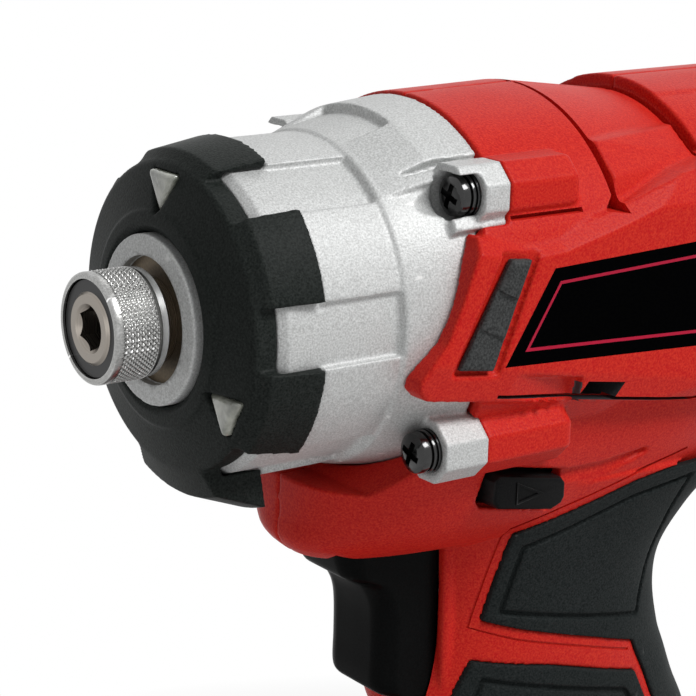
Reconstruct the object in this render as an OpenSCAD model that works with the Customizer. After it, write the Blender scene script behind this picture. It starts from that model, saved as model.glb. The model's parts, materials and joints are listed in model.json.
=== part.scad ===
// Cordless impact driver: clamshell housing, hammer mechanism, planetary gear, motor and sliding battery.
// Origin at the mouth of the bit socket on the drive axis, +X to the rear, +Z up, millimetres.

/* [Bit holder] */
// Across flats of the hexagonal bit socket
hex_af = 6.45; // [6.35:0.05:6.6]
// Depth of the bit socket
hex_depth = 25; // [20:1:27]
// Radius of the countersink at the socket's mouth
mouth_r = 4.1; // [3.9:0.1:4.6]
// Outer radius of the anvil's nose
nose_r = 6.0; // [5.6:0.1:6.4]
// Outer radius of the knurled collar
collar_r = 9.2; // [8.8:0.1:9.8]
// Length of the collar
collar_len = 9.6; // [9:0.2:10]
// Radius of the spring space inside the collar
collar_bore_r = 8.1; // [7.7:0.1:8.3]
// Thickness of the web that holds the balls in
collar_web = 2; // [1.6:0.2:2.4]
// Height of the collar's rear flange, behind its groove
collar_flange = 1.1; // [0.8:0.1:1.4]
// Thickness of the collar retainer ring
retainer_t = 1.2; // [1:0.1:1.4]
// Depth of the retainer ring behind the socket's mouth
retainer_set = 0.5; // [0.3:0.1:0.7]
// Radius of the bit balls
bit_ball_r = 1.7; // [1.5:0.1:1.8]
// Wire diameter of the collar spring
collar_wire = 0.5; // [0.4:0.05:0.5]

/* [Anvil and hammer] */
// Radius of the anvil's journal in its bush
journal_r = 7; // [6.8:0.1:7.4]
// Rear end of the bush
bush_end = 30.8; // [29:0.2:31]
// Outer radius of the anvil bush
bush_r = 10.5; // [10:0.1:10.9]
// Front face of the anvil's ears
ear_x = 33; // [32.6:0.1:33.6]
// Length of the ears along the axis
ear_len = 6; // [5:0.5:6]
// Reach of ears and hammer lugs from the axis
ear_r = 19.5; // [17:0.5:21]
// Width of ears and lugs
ear_w = 9; // [7:0.5:10]
// Outer radius of the hammer
hammer_r = 23.6; // [22:0.2:24.2]
// Front face of the hammer's body
hammer_x = 40; // [39.8:0.1:40.4]
// Length of the hammer's body
hammer_len = 17; // [15:0.5:18]
// Radius of the cam shaft
cam_r = 8.9; // [8.4:0.1:9.2]
// Radius of the shaft's pilot in the anvil
pilot_r = 4; // [3.5:0.1:4.4]
// Radius of the cam balls
cam_ball_r = 2.4; // [2:0.1:2.6]
// Wire diameter of the hammer spring
hammer_wire = 2; // [1.6:0.1:2.2]
// Mean radius of the hammer spring
hammer_spring_r = 14.5; // [14:0.1:15]

/* [Planetary gear] */
// Gear module
gear_m = 0.8; // [0.78:0.01:0.82]
// Teeth of the motor pinion
sun_teeth = 10; // [10:2:10]
// Teeth of each planet gear
planet_teeth = 19; // [19:2:19]
// Pressure angle
pressure = 25; // [22:0.5:26]
// Backlash of each mesh
backlash = 0.2; // [0.16:0.02:0.26]
// Front face of the planet carrier
carrier_x = 66; // [65.5:0.1:66.5]
// Thickness of the carrier's front plate
carrier_front = 3; // [2.5:0.1:3.2]
// Thickness of the carrier's rear plate
carrier_rear = 2.6; // [2:0.1:2.8]
// Width of the planet gears
planet_w = 8; // [7:0.2:8.4]
// Radius of the planet pins
pin_r = 2; // [1.8:0.1:2.3]
// Outer radius of the ring gear
ring_r = 25; // [23.6:0.2:25.2]
// Thickness of the gearbox plate
plate_t = 3.6; // [3:0.1:4]

/* [Hammer case] */
// Front face of the case's snout
snout_x = 11; // [10.8:0.1:11.4]
// Outer radius of the snout
snout_r = 14.15; // [13.6:0.05:14.6]
// Front shoulder of the drum
drum_x = 19; // [18.6:0.1:19.6]
// Radius of the drum in its channels
drum_r = 26.9; // [26.4:0.1:27.2]
// Radius of the raised lands
land_r = 28.1; // [27.6:0.1:28.4]
// Front end of the lands, behind the bumper's petals
land_x = 26.7; // [26.6:0.1:28]
// Ridge where lands and channels end
ridge_x = 42; // [40:0.5:44]
// Radius of the ridge
ridge_r = 28.6; // [28.2:0.1:29]
// Radius of the case where the housing takes over
flare_r = 31.3; // [30.6:0.1:31.6]
// Radius of the hammer chamber
chamber_r = 24.6; // [24.3:0.1:25]
// Radius of the rear spigot inside the housing
spigot_r = 27.6; // [27:0.1:28.2]
// Sideways place of the upper screw bosses
upper_boss_y = 24.2; // [23.6:0.1:24.8]
// Height of the upper screw bosses above the axis
upper_boss_z = 20.7; // [20.2:0.1:21.2]
// Sideways place of the lower screw bosses
lower_boss_y = 26.1; // [25:0.1:27]
// Depth of the lower screw bosses below the axis
lower_boss_z = 21.4; // [20.4:0.1:22]
// Radius of the screw bosses
boss_r = 5.4; // [5:0.1:5.8]
// Front face of the upper bosses
upper_boss_x = 56.8; // [56:0.1:57.4]
// Front face of the lower bosses
lower_boss_x = 49.2; // [48:0.1:51]
// Radius of the case's brow, which runs back between the upper bosses
brow_r = 33; // [32.6:0.1:33.2]
// Rear face of the case's upper bosses and brow
case_boss_end = 62; // [61:0.5:64]
// Rear face of the case's lower bosses
case_low_end = 58; // [57:0.5:60]
// Rear end of the housing's upper bosses
shell_boss_end = 77.6; // [76.6:0.2:80]
// Rear end of the housing's lower bosses
shell_low_end = 77; // [75:1:80]

/* [Bumper and lamps] */
// Front of the bumper around the snout
bumper_x = 11.8; // [11.5:0.1:12.2]
// Inner radius of the bumper's front rim
bumper_rim_r = 15.6; // [15.2:0.1:16]
// Radius of the bumper's front cone at its edge
bumper_cone_r = 25.2; // [24.6:0.1:25.6]
// Place of that edge
bumper_cone_x = 14.7; // [14:0.1:15.2]
// Outer radius of the petals at their front
petal_front_r = 27.6; // [27.2:0.1:28]
// Outer radius of the petals at their rear
petal_rear_r = 29; // [28.6:0.1:29.6]
// Rear end of the petals
petal_end = 26.4; // [24:0.1:26.5]
// Radius of the keel petal at its rear
keel_r = 33.6; // [31:0.1:34]
// Inner corner of the lamp windows
lamp_in_r = 17.8; // [17.4:0.1:18.2]
// Outer edge of the lamp windows
lamp_out_r = 24.2; // [23.6:0.1:24.6]
// Half width of the lamp windows
lamp_half_w = 3.5; // [3:0.1:4]

/* [Housing] */
// Front edge of the housing's barrel
shell_x = 56.5; // [56:0.1:57.5]
// Radius of the barrel at its front edge
shell_r = 33.4; // [33:0.1:34]
// Place of the first groove
groove_1 = 85.5; // [84.5:0.5:90]
// Radius of the barrel at the first groove
groove_1_r = 33.9; // [33.2:0.1:34.4]
// Place of the second groove
groove_2 = 109.5; // [106:0.5:112]
// Radius of the barrel from the second groove on
groove_2_r = 30.6; // [30.4:0.1:32]
// Rear end of the housing
shell_end = 152; // [151:0.5:158]
// Rounding of the rear end
end_round = 12; // [8:0.5:14]
// Width of the grooves
groove_w = 1.4; // [1:0.1:2]
// Depth of the grooves
groove_d = 1; // [0.6:0.1:1.4]
// Wall of the housing
wall = 2.8; // [2.4:0.1:3.2]
// Height of the spine behind the second groove
spine_r = 33.2; // [32.4:0.1:33.6]
// Half width of the spine
spine_half_w = 11; // [8:0.5:13]
// Distance of the side panels from the middle plane
wing_y = 33; // [32.8:0.1:34]
// Depth of the label's recess
label_t = 0.8; // [0.6:0.1:1]
// Depth of the side pad's recess
pad_recess = 1; // [0.8:0.1:1.2]
// Height of the side pad above the panel
pad_proud = 0.7; // [0.4:0.1:1.2]
// Width of the rear vents
vent_w = 2.4; // [1.8:0.1:3]

/* [Handle] */
// Front end of the chin below the case
chin_x = 37.6; // [36:0.2:39]
// Underside of the chin
chin_z = -45.5; // [-46:0.5:-44]
// Front of the handle behind the trigger
handle_front = 64.6; // [64:0.2:66]
// Back of the handle at the web
web_x = 120.4; // [118:0.2:124]
// Height of the web
web_z = -62; // [-64:1:-60]
// Half width of the handle
handle_half_w = 17.5; // [16.8:0.1:19]
// Underside of the foot
foot_z = -150; // [-156:1:-148]
// Front of the foot
foot_front = 50; // [46:1:54]
// Step from the battery's rear in to the foot's rear
foot_step = 6; // [3:1:8]
// Half width of the foot
foot_half_w = 35.5; // [34:0.5:38]
// Depth of the grip's recess
grip_recess = 1.5; // [1.2:0.1:1.8]
// Height of the grip above the housing
grip_proud = 0.6; // [0.3:0.1:1]

/* [Trigger and selector] */
// Height of the trigger's finger face
trigger_h = 29.2; // [28:0.2:30]
// Half width of the trigger
trigger_half_w = 9; // [8:0.1:10]
// Travel of the trigger
trigger_travel = 6.5; // [4:0.5:7]
// Radius of the trigger's stem
stem_r = 2.8; // [2.4:0.1:3.2]
// Wire diameter of the trigger spring
trigger_wire = 0.9; // [0.7:0.1:1]
// Front face of the trigger switch
switch_x = 76.5; // [76:0.5:78]
// Length of the trigger switch
switch_len = 32; // [28:1:36]
// Half width of the trigger switch
switch_half_w = 9; // [8:0.5:11]
// Top of the trigger switch
switch_top = -43; // [-44:0.5:-42]
// Underside of the trigger switch
switch_low = -76; // [-80:1:-72]
// Middle of the direction selector along the axis
selector_x = 72.2; // [71:0.2:74]
// Middle height of the direction selector
selector_z = -33.5; // [-34:0.1:-33.2]
// Length of the selector's ends
selector_len = 16; // [12:0.5:18]
// Height of the selector's ends
selector_h = 6; // [5:0.2:6.4]
// Reach of the selector from the middle plane
selector_reach = 26.5; // [26:0.1:27.5]

/* [Motor] */
// Radius of the motor can
can_r = 19; // [18:0.2:20]
// Front face of the motor can
can_x = 86; // [85.6:0.2:87]
// Wall of the motor can
can_wall = 2; // [1.6:0.1:2.4]
// Length of the end cap
cap_len = 10; // [8:0.5:10.5]
// Radius of the motor shaft
shaft_r = 2.5; // [2:0.1:2.8]
// Radius of the rotor
rotor_r = 14; // [12:0.5:15]
// Radius of the commutator
commutator_r = 6; // [5:0.5:7]

/* [Battery] */
// Length of the battery
battery_len = 112; // [110:1:120]
// Front of the battery
battery_front = 43; // [40:1:45]
// Half width of the battery
battery_half_w = 37; // [36:0.5:40]
// Corner radius of the battery
battery_corner = 8; // [5:0.5:12]
// Wall of the battery's cases
battery_wall = 2.2; // [1.8:0.1:2.4]
// Radius of a cell
cell_r = 9.1; // [8.8:0.1:9.2]
// Space between a cell's end and the battery's wall
cell_end_gap = 2.3; // [1.5:0.1:4]
// Height of the rail block above the battery
rail_h = 9; // [8:0.5:10]
// Half width of the rail block
rail_half_w = 22; // [20:0.5:24]
// Reach of the rail flanges
rail_flange = 3.5; // [2.5:0.1:4.5]
// Thickness of the rail flanges
rail_flange_h = 3.4; // [3:0.1:4]
// Half width of the release button
button_half_w = 14; // [10:0.5:16]
// Travel of the release button
button_travel = 3.5; // [2.5:0.1:4]
// Wire diameter of the button spring
button_wire = 0.8; // [0.6:0.1:0.9]

/* [Fasteners] */
// Shank radius of the case screws
case_screw_r = 1.9; // [1.6:0.1:2.2]
// Head radius of the case screws
case_head_r = 3.8; // [3.4:0.1:4]
// Head height of the case screws
case_head_h = 2.6; // [2:0.1:3]
// Depth of the seats that the case screws' heads sit in
case_head_seat = 0.4; // [0.2:0.1:0.8]
// Shank radius of the housing screws
shell_screw_r = 1.5; // [1.3:0.1:1.7]
// Head radius of the housing screws
shell_head_r = 2.9; // [2.6:0.1:3.2]

/* [Leads] */
// Radius of the insulated leads
lead_r = 1.3; // [1:0.1:1.6]
// Distance of the battery leads from the middle plane
battery_lead_y = 5; // [4:0.2:6]
// Distance of the motor leads from the middle plane
motor_lead_y = 4; // [3:0.2:5]

/* [Clearances] */
// Radial clearance of running shafts
run_gap = 0.05; // [0.03:0.01:0.08]
// Gap between pieces that move past each other
move_gap = 0.4; // [0.3:0.05:0.5]
// Gap between fixed pieces
seat_gap = 0.2; // [0.1:0.05:0.3]

/* [Hidden] */
$fn = 72;
loft_sides = 36;
curl_rings = 8;
wire_sides = 6;
lead_sides = 8;
big = 400;

// Gear sizes that follow from the teeth
ring_teeth = sun_teeth + 2 * planet_teeth;
planet_orbit = gear_m * (sun_teeth + planet_teeth) / 2;
addendum = 0.75 * gear_m;
dedendum = 1.15 * gear_m;
planet_x = carrier_x + carrier_front + 0.15;
carrier_back_x = planet_x + planet_w + 0.15;
carrier_end = carrier_back_x + carrier_rear;
gear_end = carrier_end + seat_gap;
ring_x = carrier_x + 1;
hub_r = 8;
sun_hole_r = gear_m * sun_teeth / 2 + addendum + 0.8;
carrier_r = gear_m * ring_teeth / 2 - addendum - 1.4;

// Bit holder places
web_x0 = collar_len - collar_flange - collar_web + 0.4;
ball_x = web_x0 + collar_web / 2;
collar_stop_x = collar_len + 0.1;

// Rear spring space of the hammer
hammer_floor = hammer_x + hammer_len / 2;

// Handle and foot
trigger_back = handle_front + 2;
trigger_lip = chin_z - 0.6;
trigger_top = chin_z + wall - 0.4;
trigger_low = trigger_lip - trigger_h;
trigger_wall = 4.5;
trigger_pocket_x = 58;
trigger_round = 4.5;
stem_z = (trigger_lip + trigger_low) / 2;
battery_rear = battery_front + battery_len;
foot_rear = battery_rear - foot_step;
rail_x = battery_front + 16;
rail_end = foot_rear - 17;
battery_top = foot_z - move_gap;
cell_pitch = 2 * cell_r + 0.4;
cell_len = 2 * (battery_half_w - battery_wall - cell_end_gap);
battery_h = 2 * (battery_wall + seat_gap + cell_pitch / 2 + cell_r);
battery_split = battery_top - battery_h / 2;
channel_top = battery_top + rail_h + move_gap;
floor_z = channel_top + wall;
button_x = battery_front - 1.2;
button_len = 9;
cell_count = floor((battery_len - 2 * battery_wall - button_len - 2) / cell_pitch);
button_top = battery_top - 4.5;
button_low = battery_top - 13;
button_seat = button_low - button_travel - move_gap;
latch_h = 2.6;

// Motor places along the axis; the motor fills the barrel up to the gap ahead of its rear end
motor_end_gap = 11;
can_len = shell_end - motor_end_gap - cap_len - can_x;
can_front = 3;
rotor_x = can_x + can_len * 8 / 45;
rotor_len = can_len * 4 / 9;
fan_x = rotor_x + rotor_len + can_len / 15;
fan_len = can_len / 9;
commutator_x = can_x + can_len - 3;
shaft_end = can_x + can_len + cap_len - 1;
pinion_bore_r = 1.6;
brush_w = 5;

// Places of the four case bosses: [front face, y, z, rear face of the case's part, rear end]
boss_places = [
    for (side = [-1, 1]) each [
        [upper_boss_x, side * upper_boss_y, upper_boss_z, case_boss_end, shell_boss_end],
        [lower_boss_x, side * lower_boss_y, -lower_boss_z, case_low_end, shell_low_end]
    ]
];

// Front, half angle and front radius of the case's brow, and angles of the ramps that lead up to it
brow_x = ridge_x + 10;
brow_half = 61;
brow_front_r = brow_r - 0.9;
brow_ramps = [[17, 44], [-44, -17]];

// Gap between the case and the chin below it, [x, z]
gap_z = -land_r - 3.3;
gap_end = chin_x + 13;
chin_gap = [[0, gap_z], [chin_x + 6, gap_z + 0.8], [gap_end, gap_z + 6.4], [gap_end, 0], [0, 0]];

// Step from a boss's front face back to its web, and the web's step in from the boss's sides and rear
boss_web_set = 2;
boss_web_in = 0.9;

// Angles from the top of the six petals, and of the lands behind them
petal_half = [22, 15.8, 17, 22];
petal_spans = [
    [-petal_half[0], petal_half[0]],
    [60 - petal_half[1], 60 + petal_half[1]], [300 - petal_half[1], 300 + petal_half[1]],
    [115 - petal_half[2], 115 + petal_half[2]], [245 - petal_half[2], 245 + petal_half[2]],
    [180 - petal_half[3], 180 + petal_half[3]]
];

// Lamps and the board behind them
lamp_angles = [0, 120, 240];
board_x = drum_x - 1.6;
board_t = 1.2;

// Ribs and vents of the housing
rib_t = 2;
vent_pitch = 3.9;

// Battery contacts: sideways places and size of the blades
terminal_x = rail_end + 5;
blade_y = [-14, -5, 5, 14];
blade_t = 0.8;
blade_len = 14;
blade_low = foot_z + 1.6;
blade_high = foot_z + 7;

// Routes of the leads seen from the side, [x, z]
tag_h = 2.6;
motor_tag_x = can_x + can_len + 2.5;
switch_end = switch_x + switch_len;
battery_lead_x = switch_end - 6;
battery_bends = [[0, 0], [0.09, 0.15], [0.32, 0.4], [0.61, 0.64], [0.9, 0.88], [1, 1]];
battery_route = concat(
    [[terminal_x, battery_top + rail_h]],
    [for (b = battery_bends) [
        terminal_x + b[0] * (battery_lead_x - terminal_x), floor_z + 2 + b[1] * (switch_low - 6 - floor_z)
    ]],
    [[battery_lead_x, switch_low]]
);
motor_bends = [[0, 0], [0.26, 0.2], [0.55, 0.63], [0.83, 0.9], [1, 1]];
motor_lead_x = switch_end + 4;
motor_lead_z = chin_z - 4.5;
motor_route = concat(
    [[switch_end, motor_lead_z]],
    [for (b = motor_bends) [
        motor_lead_x + b[0] * (motor_tag_x - motor_lead_x),
        motor_lead_z - b[1] * (motor_lead_z + can_r + tag_h + 3)
    ]],
    [[motor_tag_x, -can_r - tag_h]]
);

// Height at a share of the way from the web down to the foot's flare
function grip_z(share) = web_z + share * (foot_z + 35 - web_z);

// Place at a share of the way from the first groove to the rear end
function aft_x(share) = groove_1 + share * (shell_end - groove_1);

// Housing screws: depth on each side of the middle plane, and places [x, z]
screw_grip = 9;
shell_screws = [
    [98, 24.6], [shell_end - 13, 23], [110, -34],
    [86, min(grip_z(0.53), switch_low - 5)], [126, grip_z(0.78)],
    [foot_front + 26, foot_z + 19], [foot_rear - 25, foot_z + 19]
];

// Points along the outlines of the side panels, [x, z]
wing_outline = [
    [54.7, 15], [44.4, -6.5], [46.6, -11], [60.2, -13.4], [aft_x(0.31), -20], [aft_x(0.73), -20],
    [aft_x(0.895), -9], [aft_x(0.895), 9], [aft_x(0.76), 20], [aft_x(0.4), 20], [aft_x(0.25), 19],
    [groove_1 - 0.5, 14.6], [64, 13.2]
];
label_outline = [[69.3, 8.6], [59.5, -7], [aft_x(0.43), -9.8], [aft_x(0.534), 10.2]];
pad_outline = [[59.9, 11.2], [64.2, 10.7], [56.9, -7.2], [49.9, -6.2]];
side_vent_outline = [[80, -12.6], [88.6, -13.8], [87, -17], [78.6, -15.8]];

// Outline of the soft grip seen from the side, [x, z]
grip_outline = [
    [big, -31], [114.6, -34], [100.4, -36.3], [75.8, -43.5], [72.6, -60.5], [80.1, -62.9], [95.7, -67.3],
    [107.8, -71], [112.1, -78.7], [114.6, grip_z(0.417)], [122, grip_z(0.755)], [124, grip_z(0.943)],
    [121.6, grip_z(0.955)], [119.6, grip_z(0.755)], [111.9, grip_z(0.4)], [108.8, -77.4], [86.3, -71],
    [71, -68.1], [68, -74.4], [66.5, grip_z(0.34)], [70.5, grip_z(0.566)], [82, foot_z + 26],
    [big, foot_z + 26]
];

// Sections of the neck, low to high: [z, front, back, half width, roundness]
neck_stations = [
    [chin_z, chin_x + 3.4, web_x + 8, handle_half_w - 3.5, 2.5],
    [chin_z + 2, chin_x + 1, web_x + 10, handle_half_w + 0.1, 2.5],
    [chin_z + 4, chin_x - 0.2, web_x + 11.6, handle_half_w + 2.1, 2.6],
    [chin_z + 7, chin_x, web_x + 13.5, handle_half_w + 4.2, 2.8],
    [chin_z + 12, chin_x, web_x + 16, handle_half_w + 6.2, 3.2],
    [chin_z + 19, chin_x + 0.4, web_x + 15.2, handle_half_w + 8.6, 3.6],
    [chin_z + 27, chin_x + 4, web_x + 12.2, handle_half_w + 9.8, 3.6]
];

// Sections of the handle and foot, low to high: [z, front, back, half width, roundness]
handle_stations = [
    [foot_z, foot_front, foot_rear, foot_half_w, 7],
    [foot_z + 9, foot_front + 1, foot_rear, foot_half_w - 0.5, 7],
    [foot_z + 13, foot_front + 6, foot_rear - 2, foot_half_w - 4, 5],
    [foot_z + 18, foot_front + 17, foot_rear - 6, foot_half_w - 11, 3.6],
    [foot_z + 25, handle_front + 13, web_x + 19.2, handle_half_w + 2.2, 2.8],
    [foot_z + 35, handle_front + 15, web_x + 16.6, handle_half_w + 0.4, 2.5],
    [grip_z(0.775), handle_front + 12, web_x + 15, handle_half_w, 2.5],
    [grip_z(0.53), handle_front + 5.5, web_x + 10.6, handle_half_w, 2.5],
    [grip_z(0.41), handle_front - 0.5, web_x + 7.4, handle_half_w, 2.5],
    [grip_z(0.285), handle_front - 3.4, web_x + 4.6, handle_half_w, 2.5],
    [grip_z(0.185), handle_front - 2, web_x + 2.2, handle_half_w, 2.5],
    [web_z, handle_front, web_x, handle_half_w, 2.5],
    [web_z + 8, handle_front, web_x + 0.8, handle_half_w + 0.6, 2.6],
    [chin_z, handle_front, web_x + 6.4, handle_half_w + 2.2, 2.8],
    [chin_z + 5, handle_front, web_x + 11, handle_half_w + 3.8, 3],
    [chin_z + 11, handle_front, web_x + 16.2, handle_half_w + 6.4, 3.2]
];

// Turns the extrusion axis to +X
module along_x() {
    rotate([0, 90, 0]) children();
}

// Round piece about the drive axis, from [radius, x] points
module turned(points) {
    along_x() rotate_extrude() polygon(points);
}

// Sector of a round piece between two angles from the top, towards the left side
module turned_sector(points, from, to) {
    along_x() rotate([0, 0, 180 + from]) rotate_extrude(angle = to - from) polygon(points);
}

// Straight round bar along the axis
module bar_x(r, x0, x1) {
    translate([x0, 0, 0]) along_x() cylinder(r = r, h = x1 - x0);
}

// Tube along the axis
module tube_x(r_out, r_in, x0, x1) {
    difference() {
        bar_x(r_out, x0, x1);
        bar_x(r_in, x0 - 1, x1 + 1);
    }
}

// Block between two corners
module block(low, high) {
    translate(low) cube(high - low);
}

// Side outline drawn in [x, z] and given a width from y0 to y1
module side_plate(points, y0, y1) {
    translate([0, y1, 0]) rotate([90, 0, 0]) linear_extrude(y1 - y0) polygon(points);
}

// Upright block with round corners
module rounded_block(x0, x1, half_w, z0, z1, r) {
    translate([0, 0, z0]) linear_extrude(z1 - z0) {
        translate([x0 + r, -half_w]) square([x1 - x0 - 2 * r, 2 * half_w]);
        translate([x0, -half_w + r]) square([x1 - x0, 2 * half_w - 2 * r]);
        for (x = [x0 + r, x1 - r], y = [-half_w + r, half_w - r]) translate([x, y]) circle(r);
    }
}

// One horizontal section: a rounded rectangle drawn as a superellipse and grown by g
function section(s, g) = let (
    mid = (s[1] + s[2]) / 2,
    a = (s[2] - s[1]) / 2 + g,
    b = s[3] + g
) [
    for (i = [0 : loft_sides - 1]) let (t = 360 * (i + 0.5) / loft_sides, c = cos(t), d = sin(t))
        [mid + a * sign(c) * pow(abs(c), 2 / s[4]), b * sign(d) * pow(abs(d), 2 / s[4]), s[0]]
];

// Skin over a stack of rings, low to high
module skin(rings) {
    n = len(rings[0]);
    last = len(rings) - 1;
    sides = [
        for (k = [0 : last - 1], i = [0 : n - 1]) let (j = (i + 1) % n)
            each [[k * n + i, (k + 1) * n + i, (k + 1) * n + j], [k * n + i, (k + 1) * n + j, k * n + j]]
    ];
    low = [for (i = [0 : n - 1]) i];
    high = [for (i = [n - 1 : -1 : 0]) last * n + i];
    polyhedron([for (ring = rings) each ring], concat([low], sides, [high]));
}

// Solid through sections, grown by g
module loft(stations, g) {
    skin([for (s = stations) section(s, g)]);
}

// Involute function in degrees
function involute(base, r) = r <= base ? 0 : let (t = acos(base / r)) tan(t) * 180 / PI - t;

// Points of a toothed outline; thin takes backlash off every tooth
function gear_points(teeth, root, tip, thin) = let (
    pitch = gear_m * teeth / 2,
    base = pitch * cos(pressure),
    half = 90 / teeth - thin / 2 / pitch * 180 / PI,
    low = max(root + 0.01, base),
    flank = [for (k = [0 : 4]) low + (tip - low) * k / 4],
    turn = [for (r = flank) half + involute(base, pitch) - involute(base, r)]
) [
    for (i = [0 : teeth - 1]) let (mid = 360 * i / teeth) each concat(
        [root * [cos(mid - turn[0]), sin(mid - turn[0])]],
        [for (k = [0 : 4]) flank[k] * [cos(mid - turn[k]), sin(mid - turn[k])]],
        [for (k = [4 : -1 : 0]) flank[k] * [cos(mid + turn[k]), sin(mid + turn[k])]],
        [root * [cos(mid + turn[0]), sin(mid + turn[0])]]
    )
];

// External gear along the axis, one tooth pointing at the given angle
module gear_x(teeth, x0, x1, angle) {
    pitch = gear_m * teeth / 2;
    translate([x0, 0, 0]) along_x() rotate([0, 0, angle]) linear_extrude(x1 - x0)
        polygon(gear_points(teeth, pitch - dedendum, pitch + addendum, backlash / 2));
}

// Middle of the wire at turn t of a coil about the x axis
function coil_mid(x0, x1, r, curls, t) = [x0 + (x1 - x0) * t / curls, r * cos(360 * t), r * sin(360 * t)];

// Wire of one coil as a skin of small rings
module coil_x(x0, x1, r, wire, curls) {
    steps = curls * curl_rings;
    low = x0 + wire / 2;
    high = x1 - wire / 2;
    rings = [
        for (k = [0 : steps]) let (
            t = k / curl_rings,
            mid = coil_mid(low, high, r, curls, t),
            out = [0, cos(360 * t), sin(360 * t)]
        ) [
            for (i = [0 : wire_sides - 1]) let (a = -360 * i / wire_sides)
                mid + wire / 2 * (cos(a) * out + sin(a) * [1, 0, 0])
        ]
    ];
    echo(coil_gap = (high - low) / curls - wire);
    skin(rings);
}

// Direction of a side route at point i
function route_dir(p, i) = let (step = p[min(i + 1, len(p) - 1)] - p[max(i - 1, 0)]) step / norm(step);

// Round lead along a route drawn in [x, z], at distance y from the middle plane
module lead(route, y) {
    skin([
        for (i = [0 : len(route) - 1]) let (d = route_dir(route, i)) [
            for (k = [0 : lead_sides - 1]) let (a = 360 * k / lead_sides, c = lead_r * cos(a))
                [route[i][0] + c * d[1], y + lead_r * sin(a), route[i][1] - c * d[0]]
        ]
    ]);
}

// Keeps the half of a piece on one side of the middle plane
module half(side) {
    intersection() {
        children();
        translate([-big / 2, side < 0 ? -big : 0, -big]) cube([2 * big, big, 2 * big]);
    }
}

// Screw boss with a web down to the round body, grown by g
module boss(p, x1, g) {
    translate([0, p[1], p[2]]) bar_x(boss_r + g, p[0], x1);
    side = boss_r - boss_web_in + g;
    rotate([atan2(p[2], p[1]), 0, 0])
        block(
            [p[0] + boss_web_set, ridge_r - 4, -side],
            [x1 - boss_web_in + g, norm([p[1], p[2]]) - boss_r / 2 + g, side]
        );
}

// Outside of the case behind its shoulder, grown by g, for the housing to clear
module case_form(g) {
    turned([
        [0, drum_x - 30], [land_r + g, drum_x - 30], [land_r + g, ridge_x - 2], [ridge_r + g, ridge_x],
        [flare_r + g, shell_x + g], [flare_r + g, shell_x + g + 0.5], [spigot_r + g, shell_x + g + 0.5],
        [spigot_r + g, gear_end + plate_t + g], [0, gear_end + plate_t + g]
    ]);
    turned_sector([
        [spigot_r - 2, brow_x], [shell_r + 8, brow_x], [shell_r + 8, case_boss_end + g],
        [spigot_r - 2, case_boss_end + g]
    ], -brow_half, brow_half);
    for (p = boss_places) boss([p[0] - 20, p[1], p[2]], p[3], g);
}

// Round part of the housing
module barrel_form() {
    intersection() {
        turned(concat(
            [[0, shell_x], [shell_r, shell_x], [groove_1_r, groove_1], [groove_2_r, groove_2]],
            [for (a = [0 : 15 : 90])
                [groove_2_r - end_round * (1 - cos(a)), shell_end - end_round * (1 - sin(a))]],
            [[0, shell_end]]
        ));
        block([0, -wing_y + label_t, -big], [big, wing_y - label_t, big]);
    }
    intersection() {
        bar_x(spine_r, groove_2 + groove_w / 2, shell_end - end_round);
        block([0, -spine_half_w, 0], [big, spine_half_w, big]);
    }
    for (p = boss_places) translate([0, p[1], p[2]])
        turned([[0, shell_x], [boss_r, shell_x], [boss_r, p[4] - 1.2], [boss_r - 1.2, p[4]], [0, p[4]]]);
}

// Side panels that carry the label plates
module wing_form() {
    intersection() {
        side_plate(wing_outline, -wing_y, wing_y);
        bar_x(wing_y + 3.8, 0, big);
    }
}

// Space inside the barrel, with ribs that hold the case and the motor
module barrel_space() {
    inner = groove_2_r - wall;
    rib = 3;
    turned([
        [0, shell_x - 1], [spigot_r + seat_gap, shell_x - 1], [spigot_r + seat_gap, shell_x + 8],
        [inner, shell_x + 9], [inner, gear_end - 3], [spigot_r + seat_gap, gear_end - 3],
        [spigot_r + seat_gap, gear_end + plate_t + seat_gap], [inner, gear_end + plate_t + seat_gap],
        [inner, can_x + 6], [can_r + seat_gap, can_x + 6], [can_r + seat_gap, can_x + 6 + rib],
        [inner, can_x + 6 + rib], [inner, can_x + can_len - 9], [can_r + seat_gap, can_x + can_len - 9],
        [can_r + seat_gap, can_x + can_len - 9 + rib], [inner, can_x + can_len - 9 + rib],
        [inner, shell_end - end_round], [inner - end_round + wall, shell_end - wall], [0, shell_end - wall]
    ]);
}

// Space inside neck and handle, with ribs that hold the switch
module handle_space() {
    difference() {
        union() {
            intersection() {
                loft(handle_stations, -wall);
                block([0, -big, floor_z], [big, big, big]);
            }
            difference() {
                intersection() {
                    loft(neck_stations, -wall);
                    block([0, -big, chin_z + wall], [big, big, big]);
                }
                block([0, -big, gap_z - 2], [gap_end + 3, big, big]);
            }
        }
        for (x = [switch_x + 6, switch_x + switch_len - 8]) difference() {
            block([x, -big, switch_low], [x + rib_t, big, switch_top]);
            block([0, -switch_half_w - seat_gap, -big], [big, switch_half_w + seat_gap, big]);
        }
        block([switch_x, -big, switch_low - seat_gap - rib_t], [switch_x + 16, big, switch_low - seat_gap]);
    }
}

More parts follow.
